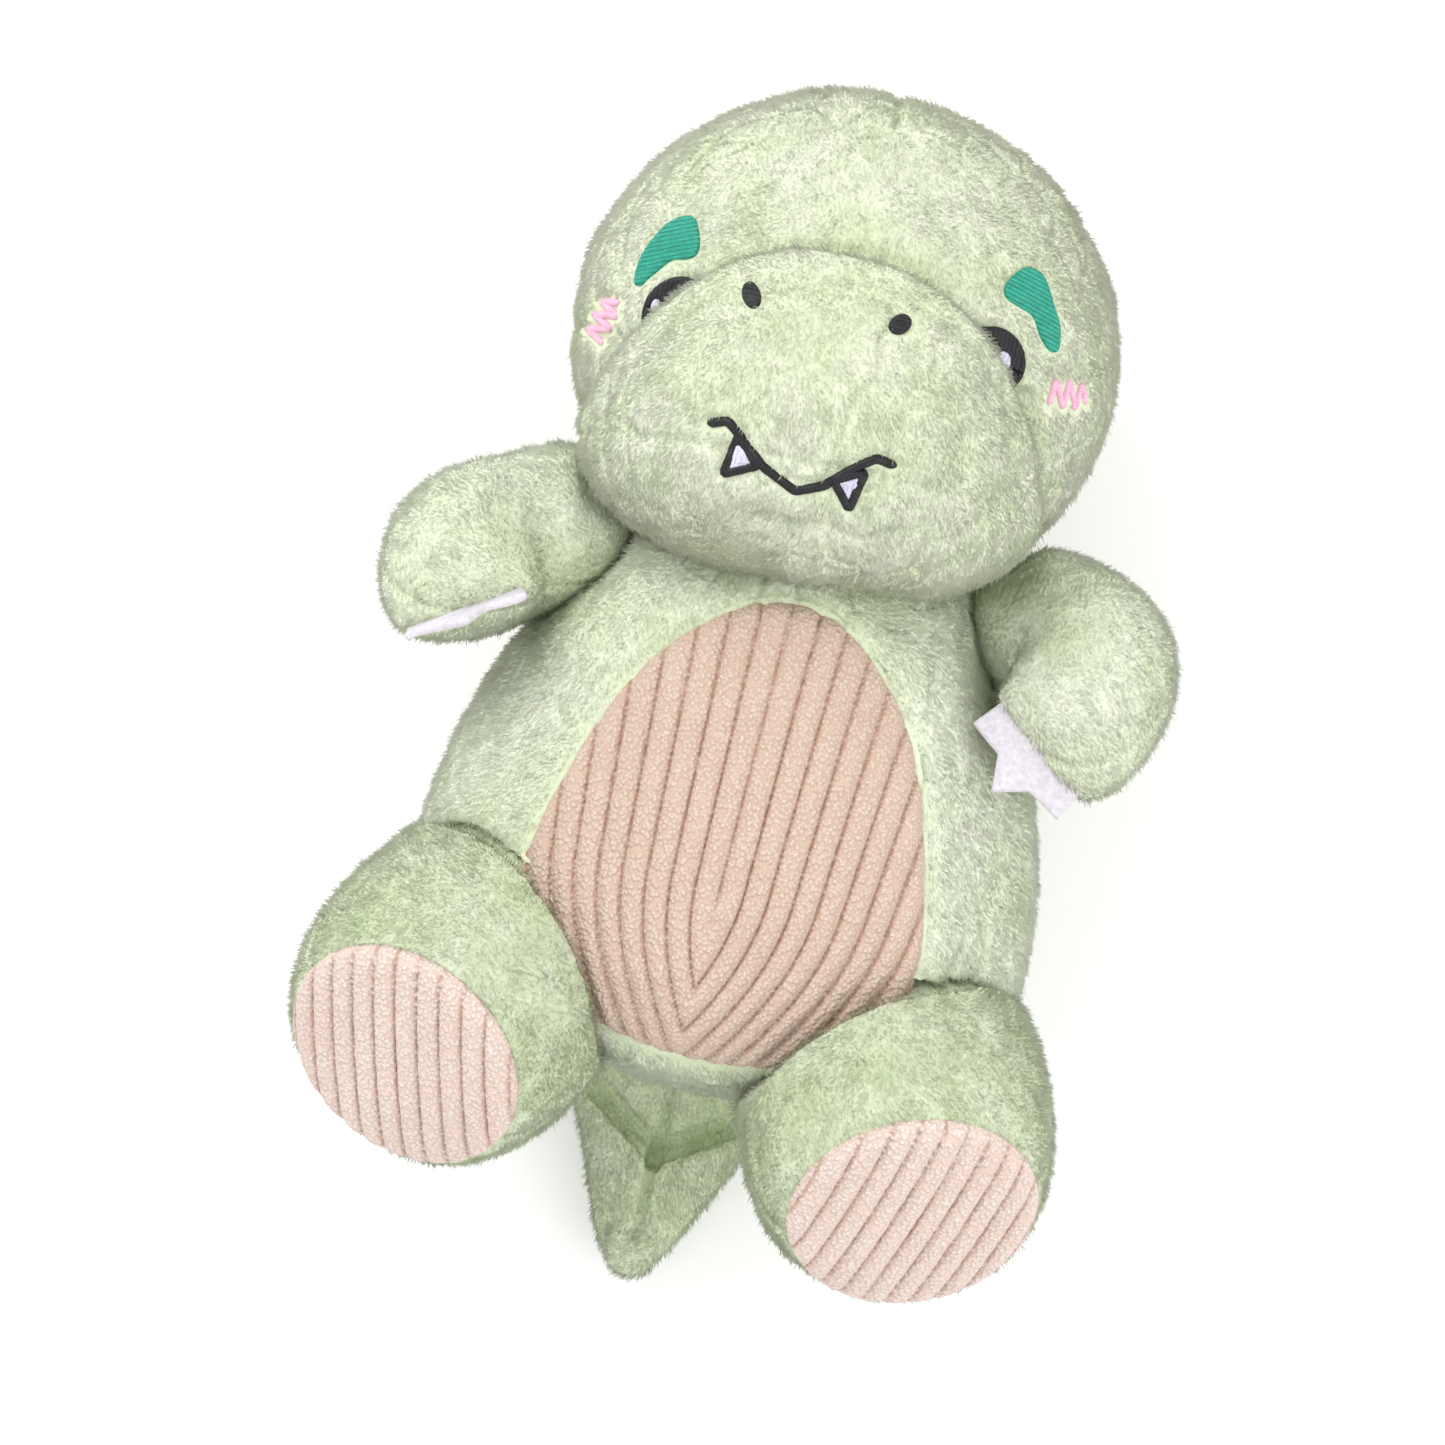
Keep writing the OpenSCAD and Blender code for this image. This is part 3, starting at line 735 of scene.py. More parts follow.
def plush_surface(piece, seams, seed, emboss=0.15, stretch=(1, 0.8, 1)):
    """Presses seams and rounded scales into a plush skin, gives it a soft uneven pile, and paints
    shade into the scales' grooves and along the seams.

    Each seam is (distance field values, depth, width)."""
    p, n = points_of(piece), normals_of(piece)
    warp = noises(p, 12, (seed + 11, seed + 12, seed + 13)) * 3.0
    edge = cell_edge((p + warp) * np.array(stretch), CELL_SIZE, seed + 20)
    patchy = smooth(-0.45, 0.35, noise(p, 23, seed + 31))
    groove = (1 - smooth(0.0, CELL_GROOVE, edge)) * (0.25 + 0.75 * patchy)
    move = -emboss * groove
    move += 0.7 * noise(p, 21, seed + 1) + 0.30 * noise(p, 8, seed + 2)
    move += 0.07 * noise(p * np.array([1, 0.5, 1]), 2.4, seed + 3)
    # Painted shade in the scales' grooves, stored on the points for the material.
    hollow = 0.85 * emboss * groove
    pucker = 0.22 * noise(p, 3.8, seed + 5)
    for distance, depth, width in seams:
        line = np.exp(-(distance / width)**2)
        near = np.exp(-(distance / (width * 3.5))**2)
        move += -depth * line + pucker * near
        # Painted shade along each seam's line, too.
        hollow = np.maximum(hollow, line * min(0.9, 0.25 + depth / 1.8))
    moved = p + n * move[:, None]
    moved[:, 2] = np.maximum(moved[:, 2], 0)
    set_points(piece, moved)
    paint(piece, "hollow", np.clip(hollow, 0, 1))


FUR_PER_MM2 = 4.0
FUR_LENGTH = 1.8
# Where along a fibre its points are, and how thick it is there.
FUR_STEPS = (0.0, 0.36, 0.70, 1.0)
FUR_RADII = (0.06, 0.06, 0.055, 0.02)
FUR_ROOT, FUR_ABOVE_FLOOR, FUR_STRAY = 0.25, 0.05, 0.16
# A limb's root grows fibres down to this depth in the body.
UNDER_BODY = 7.0


def fur(piece, body, material, comb, bare, seed):
    """Short fibres over a plush skin, combed along a field and gathered in small tufts.

    comb(p) gives the way the pile lies; bare(p) is 1 where no fibre grows."""
    rng = np.random.default_rng(900 + seed)
    p, n = points_of(piece), normals_of(piece)
    quads = read(piece.data.loops, "vertex_index", 1, np.int32).reshape(-1, 4)
    hollow = read(piece.data.attributes["hollow"].data, "value", 1)
    a, b, c, d = (p[quads[:, k]] for k in range(4))
    area = 0.5 * np.linalg.norm(np.cross(c - a, d - b), axis=1)
    total = np.cumsum(area)
    count = int(total[-1] * FUR_PER_MM2)
    face = np.searchsorted(total, (np.arange(count) + rng.random(count)) * total[-1] / count)
    face = np.minimum(face, len(quads) - 1)
    u, v = rng.random((2, count, 1))

    def spread(values):
        q = values[quads[face]]
        return (q[:, 0] * (1 - u) + q[:, 1] * u) * (1 - v) + (q[:, 3] * (1 - u) + q[:, 2] * u) * v

    root, up, deep = spread(p), spread(n), spread(hollow.astype(float))[:, 0]
    keep = rng.random(count) >= bare(root)
    root, up, deep = root[keep], unit(up[keep]), deep[keep]
    count = len(root)
    lie = comb(root) + noises(root, 14, (seed + 1, seed + 2, seed + 3)) * 0.9
    lie -= up * np.einsum("ij,ij->i", lie, up)[:, None]
    lie = unit(lie, 1e-6)
    tuft = noises(root, 2.6, (seed + 4, seed + 5, seed + 6))
    stray = rng.normal(0, FUR_STRAY, (count, 3))
    first = up * 0.78 + lie * 0.50 + tuft * 0.16 + stray
    last = up * 0.36 + lie * 0.80 + tuft * 0.40 + stray * 1.6
    size = FUR_LENGTH * (0.7 + 0.5 * rng.random(count)) * (1 - 0.55 * deep)
    base = root - up * FUR_ROOT
    line = np.stack([base + (first * (t - 0.5 * t * t) + last * (0.5 * t * t)) * size[:, None]
                     for t in FUR_STEPS], axis=1)
    line[:, :, 2] = np.maximum(line[:, :, 2], FUR_ABOVE_FLOOR)
    thick = np.tile(np.array(FUR_RADII, dtype=np.float32), (count, 1))
    curves = bpy.data.hair_curves.new("fibres_" + piece.name)
    curves.add_curves([len(FUR_STEPS)] * count)

    def give(name, kind, domain, key, values):
        layer = curves.attributes.get(name) or curves.attributes.new(name, kind, domain)
        layer.data.foreach_set(key, values.astype(np.float32).ravel())

    give("position", "FLOAT_VECTOR", "POINT", "vector", line * MM)
    give("radius", "FLOAT", "POINT", "value", thick * MM)
    give("shade", "FLOAT", "CURVE", "value", rng.random(count))
    give("skin_up", "FLOAT_VECTOR", "CURVE", "vector", up + 0.14 * lie + 0.14 * tuft + 0.5 * stray)
    curves.materials.append(material)
    made = link_object("fibres_" + piece.name, curves)
    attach(made, body)


def finish_piece(piece, body, nodes):
    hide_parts(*nodes)
    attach(piece, body)


# The grid steps of the skins.
FINE, TAIL_FINE = 1.4, 1.2

# --- torso
# The heights of the side seam and of the bare neck, and how deep the belly's pad is let in.
SIDE_SEAM_Z, NECK_BARE_Y, BELLY_SUNK = 26.0, 62, 1.7
BELLY_HALF = [(9, 43), (18, 36.5), (26, 28.5), (32, 18.5), (37, 5), (41, -10), (43, -24), (40, -37),
              (28, -47), (10, -52)]
BELLY_TOP = (0.0, 45.0)


def length_run(path):
    return np.concatenate([[0], np.cumsum(np.linalg.norm(np.diff(path, axis=0), axis=1))])


def path_at(path, run, want):
    return np.stack([np.interp(want, run, path[:, k]) for k in (0, 1)], axis=1)


def smooth_outline(points, count):
    """A closed smooth line through points, in even steps."""
    p = np.asarray(points, float)
    n = len(p)
    t = np.linspace(0, n, 24 * n, endpoint=False)
    i = np.floor(t).astype(int)
    f = (t - i)[:, None]
    a, b, c, d = p[(i - 1) % n], p[i % n], p[(i + 1) % n], p[(i + 2) % n]
    line = 0.5 * (2 * b + (c - a) * f + (2 * a - 5 * b + 4 * c - d) * f**2
                  + (3 * b - a - 3 * c + d) * f**3)
    line = np.vstack([line, line[:1]])
    run = length_run(line)
    return path_at(line, run, np.linspace(0, run[-1], count, endpoint=False))


BELLY_LINE = smooth_outline([BELLY_TOP] + BELLY_HALF + [(-x, y) for x, y in BELLY_HALF[::-1]], 420)


def to_segment(xy, a, b):
    d = b - a
    t = np.clip(((xy - a) @ d) / (d @ d), 0, 1)
    return np.linalg.norm(xy - a - t[:, None] * d, axis=1)


def inside_distance(xy, line):
    """Distance to a closed line, positive inside it; every third point of the line is used."""
    out = np.full(len(xy), 1e9)
    hits = np.zeros(len(xy), dtype=int)
    for k in range(0, len(line), 3):
        a, b = line[k], line[(k + 3) % len(line)]
        out = np.minimum(out, to_segment(xy, a, b))
        crosses = (a[1] > xy[:, 1]) != (b[1] > xy[:, 1])
        at = a[0] + (xy[:, 1] - a[1]) * (b[0] - a[0]) / (b[1] - a[1] + 1e-12)
        hits += crosses & (xy[:, 0] < at)
    return np.where(hits % 2 == 1, out, -out)


def comb_body(p):
    """The pile of the body lies towards the feet and out to the sides."""
    return np.column_stack([p[:, 0] / 90, np.full(len(p), -1.0), np.zeros(len(p))])


def torso_field(p):
    f = soft_max(body_field(p), -p[:, 2], 3.0)
    for s in (LEFT, RIGHT):
        f = soft_max(f, -ball_field(p, shoulder_at(s), SHOULDER_R + GAP), 1.2)
        f = soft_max(f, -ball_field(p, HIP[s], HIP_R + GAP), 1.2)
    return soft_max(f, -ball_field(p, TAIL_AT, TAIL_BALL + GAP), 1.2)


def make_torso():
    piece = skin("torso_plush", torso_field, (-70, -64, -3), (70, 76, 100), FINE, PLUSH["body"])
    p, n = points_of(piece), normals_of(piece)
    front = p[:, 2] > MID_Z
    depth_in = np.where(front, inside_distance(p[:, :2], BELLY_LINE), -AWAY)
    set_points(piece, p - n * (smooth(-0.4, 1.2, depth_in) * BELLY_SUNK)[:, None])
    side_seam = p[:, 2] - SIDE_SEAM_Z
    rim = np.where(front, depth_in + 0.6, AWAY)
    plush_surface(piece, [(side_seam, 1.0, 1.1), (rim, 0.9, 1.3)], 3, emboss=0.7)
    finish_piece(piece, "torso",
                 ["torso_stuffing", "side_panel_left", "side_panel_right", "back_panel"])

    def bare(q):
        under_belly = (q[:, 2] > MID_Z) * smooth(-0.6, 0.6, inside_distance(q[:, :2], BELLY_LINE))
        return np.maximum(under_belly, q[:, 1] > NECK_BARE_Y)

    fur(piece, "torso", FIBRE["body"], comb_body, bare, 1)


make_torso()


# --- head
# The height of the seam over the crown, and how far the face swells beside the muzzle.
CROWN_SEAM_Z, FACE_SWELL = 47.0, 2.1


def head_field(p):
    f = soft_min(cranium_field(p), muzzle_field(p), 1.5)
    f = soft_max(f, -p[:, 2], 3.0)
    return soft_max(f, -ball_field(p, NECK, NECK_R + GAP), 1.5)


BROW_SHAPE = ([(-5.6, -7.3), (-5.6, -2.2), (-3.3, 3.6), (-0.6, 6.8), (2.9, 7.8), (5.1, 4.1),
               (5.6, 0.7), (3.9, -1), (0.8, -1.8), (-2.6, -5.7), (-4.2, -7.8)],
              [(-3.2, 7.6), (0.4, 6.7), (3.9, 1.5), (6.1, -2.2), (7, -6.6), (5.4, -7.6),
               (2.8, -5.6), (0.2, -2), (-2.8, -1.1), (-6, -0.1), (-7, 2.2), (-5.7, 5.1)])
BROW_AT = ((-43.6, 107.0), (30.6, 114.3))
BROW_GRAIN = (20, -10)
EYE_AT = ((-38.5, 94.8), (24.7, 101.0))
EYE_HALF = ((7.3, 7.6), (6.8, 6.9))
EYE_TURN = (-14.0, -6.0)
EYE_SEEN = ((-43.2, 96.8), (28.9, 101.6))
LIGHT_AT = ((-43.0, 95.6), (26.4, 101.4))
LIGHT_HALF = ((1.0, 1.4), (1.7, 2.2))
NOSTRIL_AT = ((-24.9, 99.9), (4.7, 101.3))
NOSTRIL_HALF = ((1.8, 2.9), (2.4, 1.9))
NOSTRIL_TURN = (27.0, 49.0)


def turned(points, degrees, at):
    """Flat points, turned and moved."""
    x, y = np.asarray(points, float).T
    c, s = math.cos(math.radians(degrees)), math.sin(math.radians(degrees))
    return np.column_stack([at[0] + x * c - y * s, at[1] + x * s + y * c])


def oval_line(at, half, turn, count=20):
    a = np.linspace(0, 2 * math.pi, count, endpoint=False)
    return turned(np.column_stack([half[0] * np.cos(a), half[1] * np.sin(a)]), turn, at)


MOUTH = [(-27, 73), (-23.2, 74.4), (-20, 72), (-14.5, 67.5), (-7, 64.4), (-2, 66.7), (4, 72.4),
         (6.9, 74.5), (11, 74)]
FANGS = [[(-20.4, 71.8), (-15.4, 67.4), (-21.4, 64.4)], [(-0.2, 68.4), (5.2, 71.2), (4.0, 63.9)]]
FANG_EDGES = [fang + fang[:1] for fang in FANGS]
BLUSH_AT = ((-54.0, 91.3), (42.0, 99.6))
BLUSH_TURN = (75.0, 15.0)
BLUSH_SHAPE = [(-4.2, -2.4), (-2.6, 2.8), (-1.0, -2.6), (0.4, 2.8), (1.8, -2.6), (3.2, 2.4),
               (4.4, -1.6)]


def near_path(xy, path):
    """Distance to an open line."""
    path = np.asarray(path, float)
    return np.minimum.reduce([to_segment(xy, a, b) for a, b in zip(path[:-1], path[1:])])


# Fibres keep this far from embroidery, and a line of embroidery is this wide from its middle.
CLEAR, THREAD_HALF = 0.35, 0.85


def brow_line(s):
    return np.array(BROW_SHAPE[s]) + np.array(BROW_AT[s])


def eye_line(s, count=20):
    return oval_line(EYE_AT[s], EYE_HALF[s], EYE_TURN[s], count)


def nostril_line(s, count=20):
    return oval_line(NOSTRIL_AT[s], NOSTRIL_HALF[s], NOSTRIL_TURN[s], count)


def blush_line(s):
    return turned(BLUSH_SHAPE, BLUSH_TURN[s], BLUSH_AT[s])


def stitch_distance(q):
    """Distance to the nearest embroidery on the front of the head, 0 or less under it."""
    out = np.full(len(q), AWAY)
    front = np.flatnonzero(q[:, 2] > HEAD_AT[2])
    xy = q[front, :2]
    off_face = np.where(cranium_field(q[front]) < 0.9, 0.0, AWAY)
    near = [near_path(xy, path) - THREAD_HALF
            for path in [MOUTH, blush_line(LEFT), blush_line(RIGHT)] + FANG_EDGES]
    near += [-inside_distance(xy, smooth_outline(f, 60)) for f in FANGS]
    for s in (LEFT, RIGHT):
        near.append(-inside_distance(xy, smooth_outline(brow_line(s), 90)))
        near.append(off_face - inside_distance(xy, eye_line(s, 90)))
        near.append(-inside_distance(xy, nostril_line(s, 60)))
    out[front] = np.minimum.reduce(near)
    return out


def comb_head(p):
    """The pile of the head lies away from the crown and down over the muzzle."""
    out = (p - np.array([-6.0, 150.0, 60.0])) / 60
    out[:, 1] -= 0.6
    return out


def make_head():
    piece = skin("head_plush", head_field, (-68, 44, -3), (60, 158, 132), FINE, PLUSH["head"])
    p, n = points_of(piece), normals_of(piece)
    over, face = muzzle_field(p), cranium_field(p)
    on_cranium = over > 1.0
    x, y, z = into(p, HEAD_AT, HEAD_TURN).T
    crown = np.where(on_cranium, p[:, 2] - CROWN_SEAM_Z, AWAY)
    back = np.where(on_cranium & (z < -4), x, AWAY)
    dart = np.hypot(np.where(on_cranium & (z > 0), x - 1.0, AWAY), np.maximum(44 - y, 0))
    crease = np.abs(over) + np.abs(face)
    cheek = np.where((p[:, 0] > 12) & (p[:, 1] < 98), crease, AWAY)
    chin = np.where(~on_cranium, y + 29.5, AWAY)
    pulled = np.maximum(stitch_distance(p), 0)
    swell = FACE_SWELL * np.exp(-((crease - 5.5) / 4.0)**2) * (face > over)
    set_points(piece, p + n * swell[:, None])
    plush_surface(piece, [(crown, 0.8, 1.2), (back, 0.8, 1.1), (dart, 0.9, 0.9), (crease, 2.0, 1.5),
                          (cheek, 2.4, 3.0), (pulled, 0.45, 1.2), (chin, 0.5, 1.1)],
                  41, emboss=0.6, stretch=(1, 0.62, 1))
    finish_piece(piece, "head",
                 ["head_stuffing", "face_panel", "head_back_left", "head_back_right",
                  "muzzle_panel", "chin_panel"])

    def bare(q):
        return np.maximum(ball_field(q, NECK, NECK_R) < 1.2, stitch_distance(q) < CLEAR)

    fur(piece, "head", FIBRE["head"], comb_head, bare, 2)
    return piece


head = make_head()


# --- arms
# Turns of the head and reaches of the arm at which the two are kept this far apart.
HEAD_TURNS, HEAD_REACHES, TURNED_GAP = (-3.0, 3.5, 10.0), (0.0, 9.0, 18.0), 1.9


def swept_head(p, centre):
    """The head as an arm meets it, over the head's turn and over the arm's own reach."""
    met = []
    for reach in HEAD_REACHES:
        lifted = (p - centre) @ rotation(-reach, "x").T + centre
        for turn in HEAD_TURNS:
            q = (lifted - NECK) @ rotation(turn, "y") + NECK
            met += [cranium_field(q), muzzle_field(q)]
    return np.minimum.reduce(met)


def arm_seam(p, s):
    across = np.cross(ARM_BEND[s] - ARM_ROOT[s], ARM_END[s] - ARM_BEND[s])
    return (flipped(p, s) - ARM_END[s]) @ (-across / np.linalg.norm(across))


def clear_of_body(f, p, centre, r, swing):
    """A limb's field, cut to keep off the body over its swing; its round root stays."""
    around = np.maximum(np.minimum(body_field(p), swept_body(p, centre, swing) - 0.6),
                        -ball_field(p, centre, r + 0.2))
    return soft_max(f, -around, 1.0)


def deep_in_body(q):
    return body_field(q) < -UNDER_BODY


def comb_along(way):
    """Fibres that all lie one way."""
    return lambda q: np.tile(way, (len(q), 1))


def make_arm(s):
    name, centre = SIDE_NAME[s], shoulder_at(s)

    def field(p):
        f = clear_of_body(arm_field(p, s), p, centre, SHOULDER_R, [-a for a in ARM_REACH])
        f = soft_max(f, ARM_TO_HEAD - cranium_field(p), 2.0)
        f = soft_max(f, ARM_TO_HEAD - muzzle_field(p), 2.0)
        return soft_max(f, TURNED_GAP - swept_head(p, centre), 1.5)

    low, high = (((-94, 4, 36), (-30, 76, 106)), ((30, 4, 36), (92, 76, 106)))[s]
    piece = skin("arm_plush_" + name, field, low, high, FINE, PLUSH["body"])
    plush_surface(piece, [(arm_seam(points_of(piece), s), 0.5, 1.0)], 70 + s)
    finish_piece(piece, "arm_" + name,
                 ["arm_stuffing_" + name, "arm_front_" + name, "arm_back_" + name])
    comb = comb_along(flipped(ARM_END[s] - ARM_ROOT[s], s) / 40)
    fur(piece, "arm_" + name, FIBRE["body"], comb, deep_in_body, 3 + s)


make_arm(LEFT)
make_arm(RIGHT)


# --- legs
SOLE_SUNK = 2.2


def make_leg(s):
    name, turn = SIDE_NAME[s], leg_turn(s)

    def field(p):
        return clear_of_body(leg_field(p, s), p, HIP[s], HIP_R, LEG_SWING)

    low, high = sorted([HIP[s][0] - SIDE[s] * 38, HIP[s][0] + SIDE[s] * 56])
    piece = skin("leg_plush_" + name, field, (low, -112, 20), (high, -2, 118), FINE, PLUSH["limb"])
    p = points_of(piece)
    x, y, z = into(p, HIP[s], turn).T
    rho = np.hypot(x, y)
    sunk = smooth(0.2, 1.6, SOLE_R - rho) * (z > SOLE_Y - 3)
    set_points(piece, p - normals_of(piece) * (SOLE_SUNK * sunk)[:, None])
    rim = np.hypot(rho - SOLE_R, z - SOLE_Y)
    plush_surface(piece, [(y, 0.9, 1.1), (rim, 0.8, 1.6)], 90 + s)
    finish_piece(piece, "leg_" + name,
                 ["leg_stuffing_" + name, "leg_upper_" + name, "leg_under_" + name])

    def bare(root):
        x, y, z = into(root, HIP[s], turn).T
        return (np.hypot(x, y) < SOLE_R + 0.2) & (z > SOLE_Y - 1) | deep_in_body(root)

    fur(piece, "leg_" + name, FIBRE["limb"], comb_along(turn[:, 2] * 0.9), bare, 5 + s)


make_leg(LEFT)
make_leg(RIGHT)


# --- tail
# Where the fold crosses the tail, how deep its dish is, and where its centre seam ends.
TAIL_FOLD_Y, TAIL_DISH, TAIL_SEAM_END = 76.0, 4.5, -99.0


def make_tail():
    def field(p):
        around = np.maximum(swept_body(p, TAIL_AT, TAIL_SWING) - 1.0,
                            -ball_field(p, TAIL_AT, TAIL_BALL))
        return soft_max(tail_field(p), -around, 1.0)

    piece = skin("tail_plush", field, (-30, -112, -3), (30, -26, 44), TAIL_FINE, PLUSH["limb"])
    p, up = points_of(piece), normals_of(piece)[:, 2]
    x, y, _ = p.T
    fold = np.abs(x) * 0.62 - (y + TAIL_FOLD_Y)
    dish = smooth(0.1, 0.6, up) * smooth(-7, 0, -fold) * smooth(-0.6, -4.0, y + 57)
    set_points(piece, p - np.array([0, 0, 1]) * (TAIL_DISH * np.clip(dish, 0, 1))[:, None])
    ridge = np.where(up > 0.1, fold, AWAY)
    middle = np.where(y > TAIL_SEAM_END, x, AWAY)
    # Painted shade over the tail's dish, which is also pressed in a little.
    dish_shade = np.where(dish > 0.35, 0.0, AWAY)
    plush_surface(piece, [(middle, 1.6, 1.3), (ridge, 1.2, 1.6), (dish_shade, 0.6, 2.0)], 120)
    finish_piece(piece, "tail",
                 ["tail_stuffing", "tail_panel_left", "tail_panel_right"])
    fur(piece, "tail", FIBRE["limb"], comb_along(np.array([0.0, -1.0, 0.0])), deep_in_body, 7)


make_tail()


# --- corduroy
BELLY_RIB, BELLY_RELIEF = 5.3, 1.75
SOLE_RIB, SOLE_RELIEF = 4.9, 1.6
SOLE_RIB_TURN = (34.0, -33.0)


def rib_height(phase):
    """0 in a groove, 1 on a rib's back, for a phase in ribs."""
    return np.abs(np.sin(np.pi * phase))**0.55


# Painted shade down a rib's groove: 1 in the groove, 0 on the rib's back.
def rib_groove_shade(phase):
    return 1 - smooth(0.12, 0.6, rib_height(phase))


def belly_phase(x, y):
    """How many ribs from the middle fold: they fan out above it and meet in a fold below."""
    fan = 1 - 0.003 * y
    fold = 0.011 * np.maximum(-15 - y, 0)**2
    return (np.sqrt((x + 1.5)**2 + 0.02) * fan + fold) / BELLY_RIB


def disc_slab(name, outline, centre, rings, place, thick, material):
    """A thin closed pad: its outline filled ring by ring, then turned down and closed below.

    place(xy, height, shaped) gives the points at a height above the base surface."""
    m = len(outline)
    middle = np.array([centre])
    verts = [place(middle, 0.0, True)]
    for share in np.linspace(0, 1, rings + 1)[1:]**0.92:
        verts.append(place(centre + (outline - centre) * share, 0.0, True))
    for flat in (outline, centre + (outline - centre) * 0.5, middle):
        verts.append(place(flat, -thick, False))
    verts = np.concatenate(verts)
    k = np.arange(m)
    nxt = (k + 1) % m
    quads = []
    for a in range(1, 1 + (rings + 1) * m, m):
        quads += np.stack([a + k, a + m + k, a + m + nxt, a + nxt], axis=1).tolist()
    a = 1 + (rings + 1) * m
    fan = np.stack([0 * k, 1 + k, 1 + nxt], axis=1).tolist()
    fan += np.stack([a + k, 0 * k + len(verts) - 1, a + nxt], axis=1).tolist()
    return mixed_mesh(name, verts, quads + fan, material), verts


def body_front(x, y):
    w, d = BODY_W(y), BODY_D(y)
    return MID_Z + d * np.sqrt(np.clip(1 - (x / w)**2, 0.02, 1))


def body_normal(x, y):
    e = 0.4
    gx = (body_front(x + e, y) - body_front(x - e, y)) / (2 * e)
    gy = (body_front(x, y + e) - body_front(x, y - e)) / (2 * e)
    return unit(np.stack([-gx, -gy, np.ones_like(gx)], axis=1))


def make_belly():
    def place(xy, height, shaped):
        x, y = xy[:, 0], xy[:, 1]
        base = np.stack([x, y, body_front(x, y)], axis=1)
        lift = np.full(len(x), height - 0.9)
        if shaped:
            roll = np.sqrt(np.clip(np.maximum(inside_distance(xy, BELLY_LINE), 0) / 2.6, 0, 1))
            lift += BELLY_RELIEF * rib_height(belly_phase(x, y)) * roll + 0.8 * roll - 1.1
            lift += 0.20 * noise(base, 1.2, 8) + 0.5 * noise(base, 22, 9) * roll
        return base + body_normal(x, y) * lift[:, None]

    piece, verts = disc_slab("belly_corduroy", BELLY_LINE, np.array([0.0, -6.0]), 150, place, 2.6,
                             CORD_BELLY)
    # Painted shade down the ribs' grooves.
    paint(piece, "groove", rib_groove_shade(belly_phase(verts[:, 0], verts[:, 1])))
    finish_piece(piece, "torso", ["belly_panel"])


make_belly()


def make_sole(s):
    name, turn = SIDE_NAME[s], leg_turn(s)
    lean = math.radians(SOLE_RIB_TURN[s])
    radius = SOLE_R - 0.3
    angle = np.linspace(0, 2 * math.pi, 200, endpoint=False)
    outline = np.stack([np.cos(angle), np.sin(angle)], axis=1) * radius

    def phase(q):
        return (q[:, 0] * math.cos(lean) + q[:, 1] * math.sin(lean)) / SOLE_RIB

    def place(xy, height, shaped):
        rho = np.hypot(xy[:, 0], xy[:, 1]) / radius
        dome = 3.0 * np.sqrt(np.clip(1 - rho**2, 0, 1)) + SOLE_Y + 0.4
        lift = np.full(len(xy), float(height))
        if shaped:
            roll = np.sqrt(np.clip((1 - rho) * radius / 2.4, 0, 1))
            lift += SOLE_RELIEF * rib_height(phase(xy)) * roll - 0.7
            lift += 0.20 * noise(np.column_stack([xy, dome]), 1.2, 18 + s)
        return np.stack([xy[:, 0], xy[:, 1], dome + lift], axis=1) @ turn.T + HIP[s]

    piece, verts = disc_slab("sole_corduroy_" + name, outline, np.zeros(2), 70, place, 2.0,
                             CORD_SOLE)
    # Painted shade down the ribs' grooves.
    paint(piece, "groove", rib_groove_shade(phase(into(verts, HIP[s], turn))))
    finish_piece(piece, "leg_" + name, ["sole_" + name])


make_sole(LEFT)
make_sole(RIGHT)


# --- embroidery
head_tree = BVHTree.FromPolygons(points_of(head).tolist(),
                                 [tuple(face.vertices) for face in head.data.polygons])


def cranium_height(xy):
    """Height of the face itself, also where the muzzle covers it."""
    q = into(np.column_stack([xy, np.full(len(xy), HEAD_AT[2])]), HEAD_AT, HEAD_TURN) / HEAD_HALF
    ring = np.clip(1 - q[:, 1]**2, 0, 1)**(HEAD_SQUARE / 2) - np.abs(q[:, 0])**HEAD_SQUARE
    return HEAD_AT[2] + HEAD_HALF[2] * np.clip(ring, 0, 1)**(1 / HEAD_SQUARE)


def on_skin(xy, face_only=False):
    """Points of the head's front skin under flat points."""
    at = []
    for x, y in xy:
        hit, _, _, _ = head_tree.ray_cast(Vector((x, y, 200)), Vector((0, 0, -1)))
        at.append((x, y, HEAD_AT[2]) if hit is None else tuple(hit))
    at = np.array(at)
    if face_only:
        face = np.column_stack([xy, cranium_height(xy)])
        at = np.where((muzzle_field(face) < 1.5)[:, None], face, at)
    return at


# How far an eye goes on under the muzzle.
TUCK = 3.0


def trim_to_face(line, middle):
    """Draws an outline in to where the muzzle covers the face."""
    def shows(point):
        return muzzle_field(np.column_stack([[point], cranium_height(point[None])]))[0] > -TUCK

    out = []
    for point in line:
        low, high = 0.0, 1.0
        for _ in range(12):
            t = (low + high) / 2
            low, high = (t, high) if shows(middle + (point - middle) * t) else (low, t)
        out.append(point if shows(point) else middle + (point - middle) * low)
    return np.array(out)


def field_normal(p, field):
    steps = 0.5 * np.eye(3)
    return unit(np.stack([field(p + e) - field(p - e) for e in steps], axis=1))


# The width of a thread, and how many threads make one ridge.
THREAD, RIDGE_THREADS = 0.55, 1.6


# Where painted shade goes between threads: 1 between them, 0 on a ridge.
def shade_between_threads(ridge):
    return 1 - smooth(0.1, 0.6, ridge)


